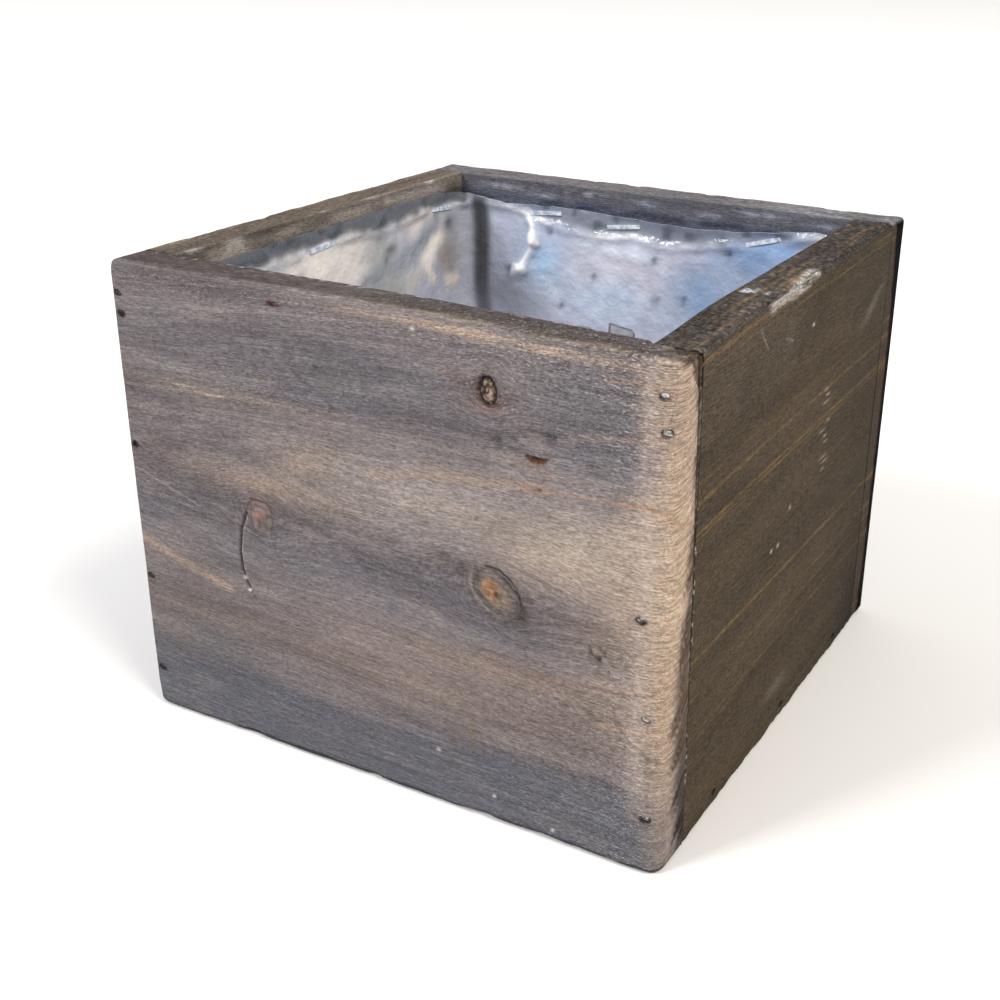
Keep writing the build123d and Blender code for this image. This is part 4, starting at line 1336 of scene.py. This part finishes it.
    # Clearer film above the folds shows grey, darker with painted shade on the left wall, and darker in spots
    clear = np.clip(1 - milky, 0, 1)
    lay(filmColourAndLight, 0.8 * clear, "#9aa2b2")
    lay(filmColourAndLight, 0.85 * clear * ease(halfX - 2, halfX - 0.5, -flat[:, 0]), "#74767a")
    lay(filmColourAndLight, 0.6 * clear * ease(0.1, 0.6, wander(places, 3.5, 34)), "#4a4d56")
    # The loose tabs are grey, the larger one with a dark outline
    tab = ease(118.5, 120, z) * ease(halfY - 2, halfY - 0.5, -flat[:, 1])
    lay(filmColourAndLight, 0.85 * tab, "#b3b8c1")
    outline = bell(lineDistance(wallPoints(flat[:, 0], z), film["tabEdge"]), 0.3)
    lay(filmColourAndLight, 0.85 * tab * outline, "#4d5058")
    filmColourAndLight[:, 3] = np.maximum(0.62 + 0.33 * np.clip(milky, 0, 1), 0.8 * tab)
    writeLayer(mesh, "filmColourAndLight", "FLOAT_COLOR", filmColourAndLight)
    piece = finishPiece("filmLiner", mesh, material, "liner")
    shell = piece.modifiers.new("gauge", "SOLIDIFY")
    shell.thickness = film["thickness"] * mm
    shell.offset = -1
    return piece


# Polyethylene film: glossy and limp, see-through where it is flat, milky where it is creased
def clearFilm():
    material, tree, shader = newMaterial("creased polyethylene film")
    filmColourAndLight = addNode(tree, "ShaderNodeAttribute", attribute_name="filmColourAndLight").outputs
    spot = addNode(tree, "ShaderNodeTexCoord").outputs["Object"]
    haze = addNode(tree, "ShaderNodeTexNoise", {
        "Vector": spot, "Scale": 1 / (film["hazeSize"] * mm), "Detail": 4.0}).outputs[0]
    fine = addNode(tree, "ShaderNodeTexNoise", {
        "Vector": spot, "Scale": 1 / (film["crumpleSize"] * mm), "Detail": 2.0}).outputs[0]
    bright = addNode(tree, "ShaderNodeMapRange", {0: haze, 1: 0.3, 2: 0.7, 3: 0.89, 4: 1.06}).outputs[0]
    rough = addNode(tree, "ShaderNodeMapRange", {0: haze, 1: 0.3, 2: 0.7, 3: 0.08, 4: 0.20}).outputs[0]
    colour = addNode(tree, "ShaderNodeHueSaturation", {"Value": bright, "Color": filmColourAndLight["Color"]}).outputs[0]
    rumple = addNode(tree, "ShaderNodeMath", {0: haze, 1: 3.0, 2: fine}, operation="MULTIPLY_ADD").outputs[0]
    bump = addNode(tree, "ShaderNodeBump", {"Height": rumple, "Strength": 0.35, "Distance": 0.6 * mm})
    setInputs(tree, shader, {"Base Color": colour, "Alpha": filmColourAndLight["Alpha"], "IOR": 1.51, "Roughness": rough,
                             "Normal": bump.outputs[0]})
    return material


# Galvanised steel wire: bright zinc with dull patches and a fine grain; patch and grain in millimetres
def galvanisedWire(name, look):
    material, tree, shader = newMaterial(name)
    spot = addNode(tree, "ShaderNodeTexCoord").outputs["Object"]
    patch = addNode(tree, "ShaderNodeTexNoise", {
        "Vector": spot, "Scale": 1 / (look["patch"] * mm), "Detail": 3.0}).outputs[0]
    fine = addNode(tree, "ShaderNodeTexNoise", {
        "Vector": spot, "Scale": 1 / (look["grain"] * mm), "Detail": 2.0}).outputs[0]
    dull = addNode(tree, "ShaderNodeMapRange", {0: patch, 1: look["dullFrom"], 2: look["dullTo"]}).outputs[0]
    colour = addNode(tree, "ShaderNodeMix", {0: dull, 6: rgba(look["bright"]), 7: rgba(look["dull"])},
                     data_type="RGBA").outputs[2]
    rough = addNode(tree, "ShaderNodeMapRange", {
        0: patch, 1: 0.3, 2: 0.7, 3: look["smooth"], 4: look["rough"]}).outputs[0]
    bump = addNode(tree, "ShaderNodeBump", {"Height": fine, "Strength": 0.3, "Distance": 0.08 * mm})
    setInputs(tree, shader, {"Base Color": colour, "Roughness": rough, "Normal": bump.outputs[0],
                             "Metallic": look["metallic"]})
    return material


# Staples: near-white zinc with a bluish painted sky reflection, and duller bluish patches painted as shade
stapleWire = {"bright": "#fafcff", "dull": "#b7c4d8", "patch": 2.0, "grain": 0.25, "dullFrom": 0.44,
              "dullTo": 0.58, "smooth": 0.12, "rough": 0.30, "metallic": 0.15}
nailWire = {"bright": "#c4c3c0", "dull": "#4a4644", "patch": 1.3, "grain": 0.25, "dullFrom": 0.44,
            "dullTo": 0.60, "smooth": 0.25, "rough": 0.55, "metallic": 0.8}
darkNailWire = dict(nailWire, bright="#4a4644", dull="#1f1c1b", smooth=0.4, rough=0.7)

setCamera()
setStudio()
print("camera and studio set")
makeWall(frontBoard, stainedPine("grey-brown stained pine, front", frontPine))
makeWall(rightBoard, stainedPine("dark brown stained pine with painted shade, right", rightShadedPine))
makeWall(backBoard, stainedPine("grey-brown stained pine, back", backPine))
makeWall(leftBoard, stainedPine("brown stained pine, left", leftPine))
makeBase(stainedPine("planed unstained pine", basePine))
makeFilm(clearFilm())
staple = galvanisedWire("galvanised staple wire", stapleWire)
nail = galvanisedWire("galvanised brad wire", nailWire)
darkNail = galvanisedWire("stained brad wire", darkNailWire)
for name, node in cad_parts.items():
    if "staples" in name or "nails" in name:
        wire = staple if "staples" in name else nail if name == "front_right_nails" else darkNail
        node.data.materials.clear()
        node.data.materials.append(wire)
print("all pieces made")
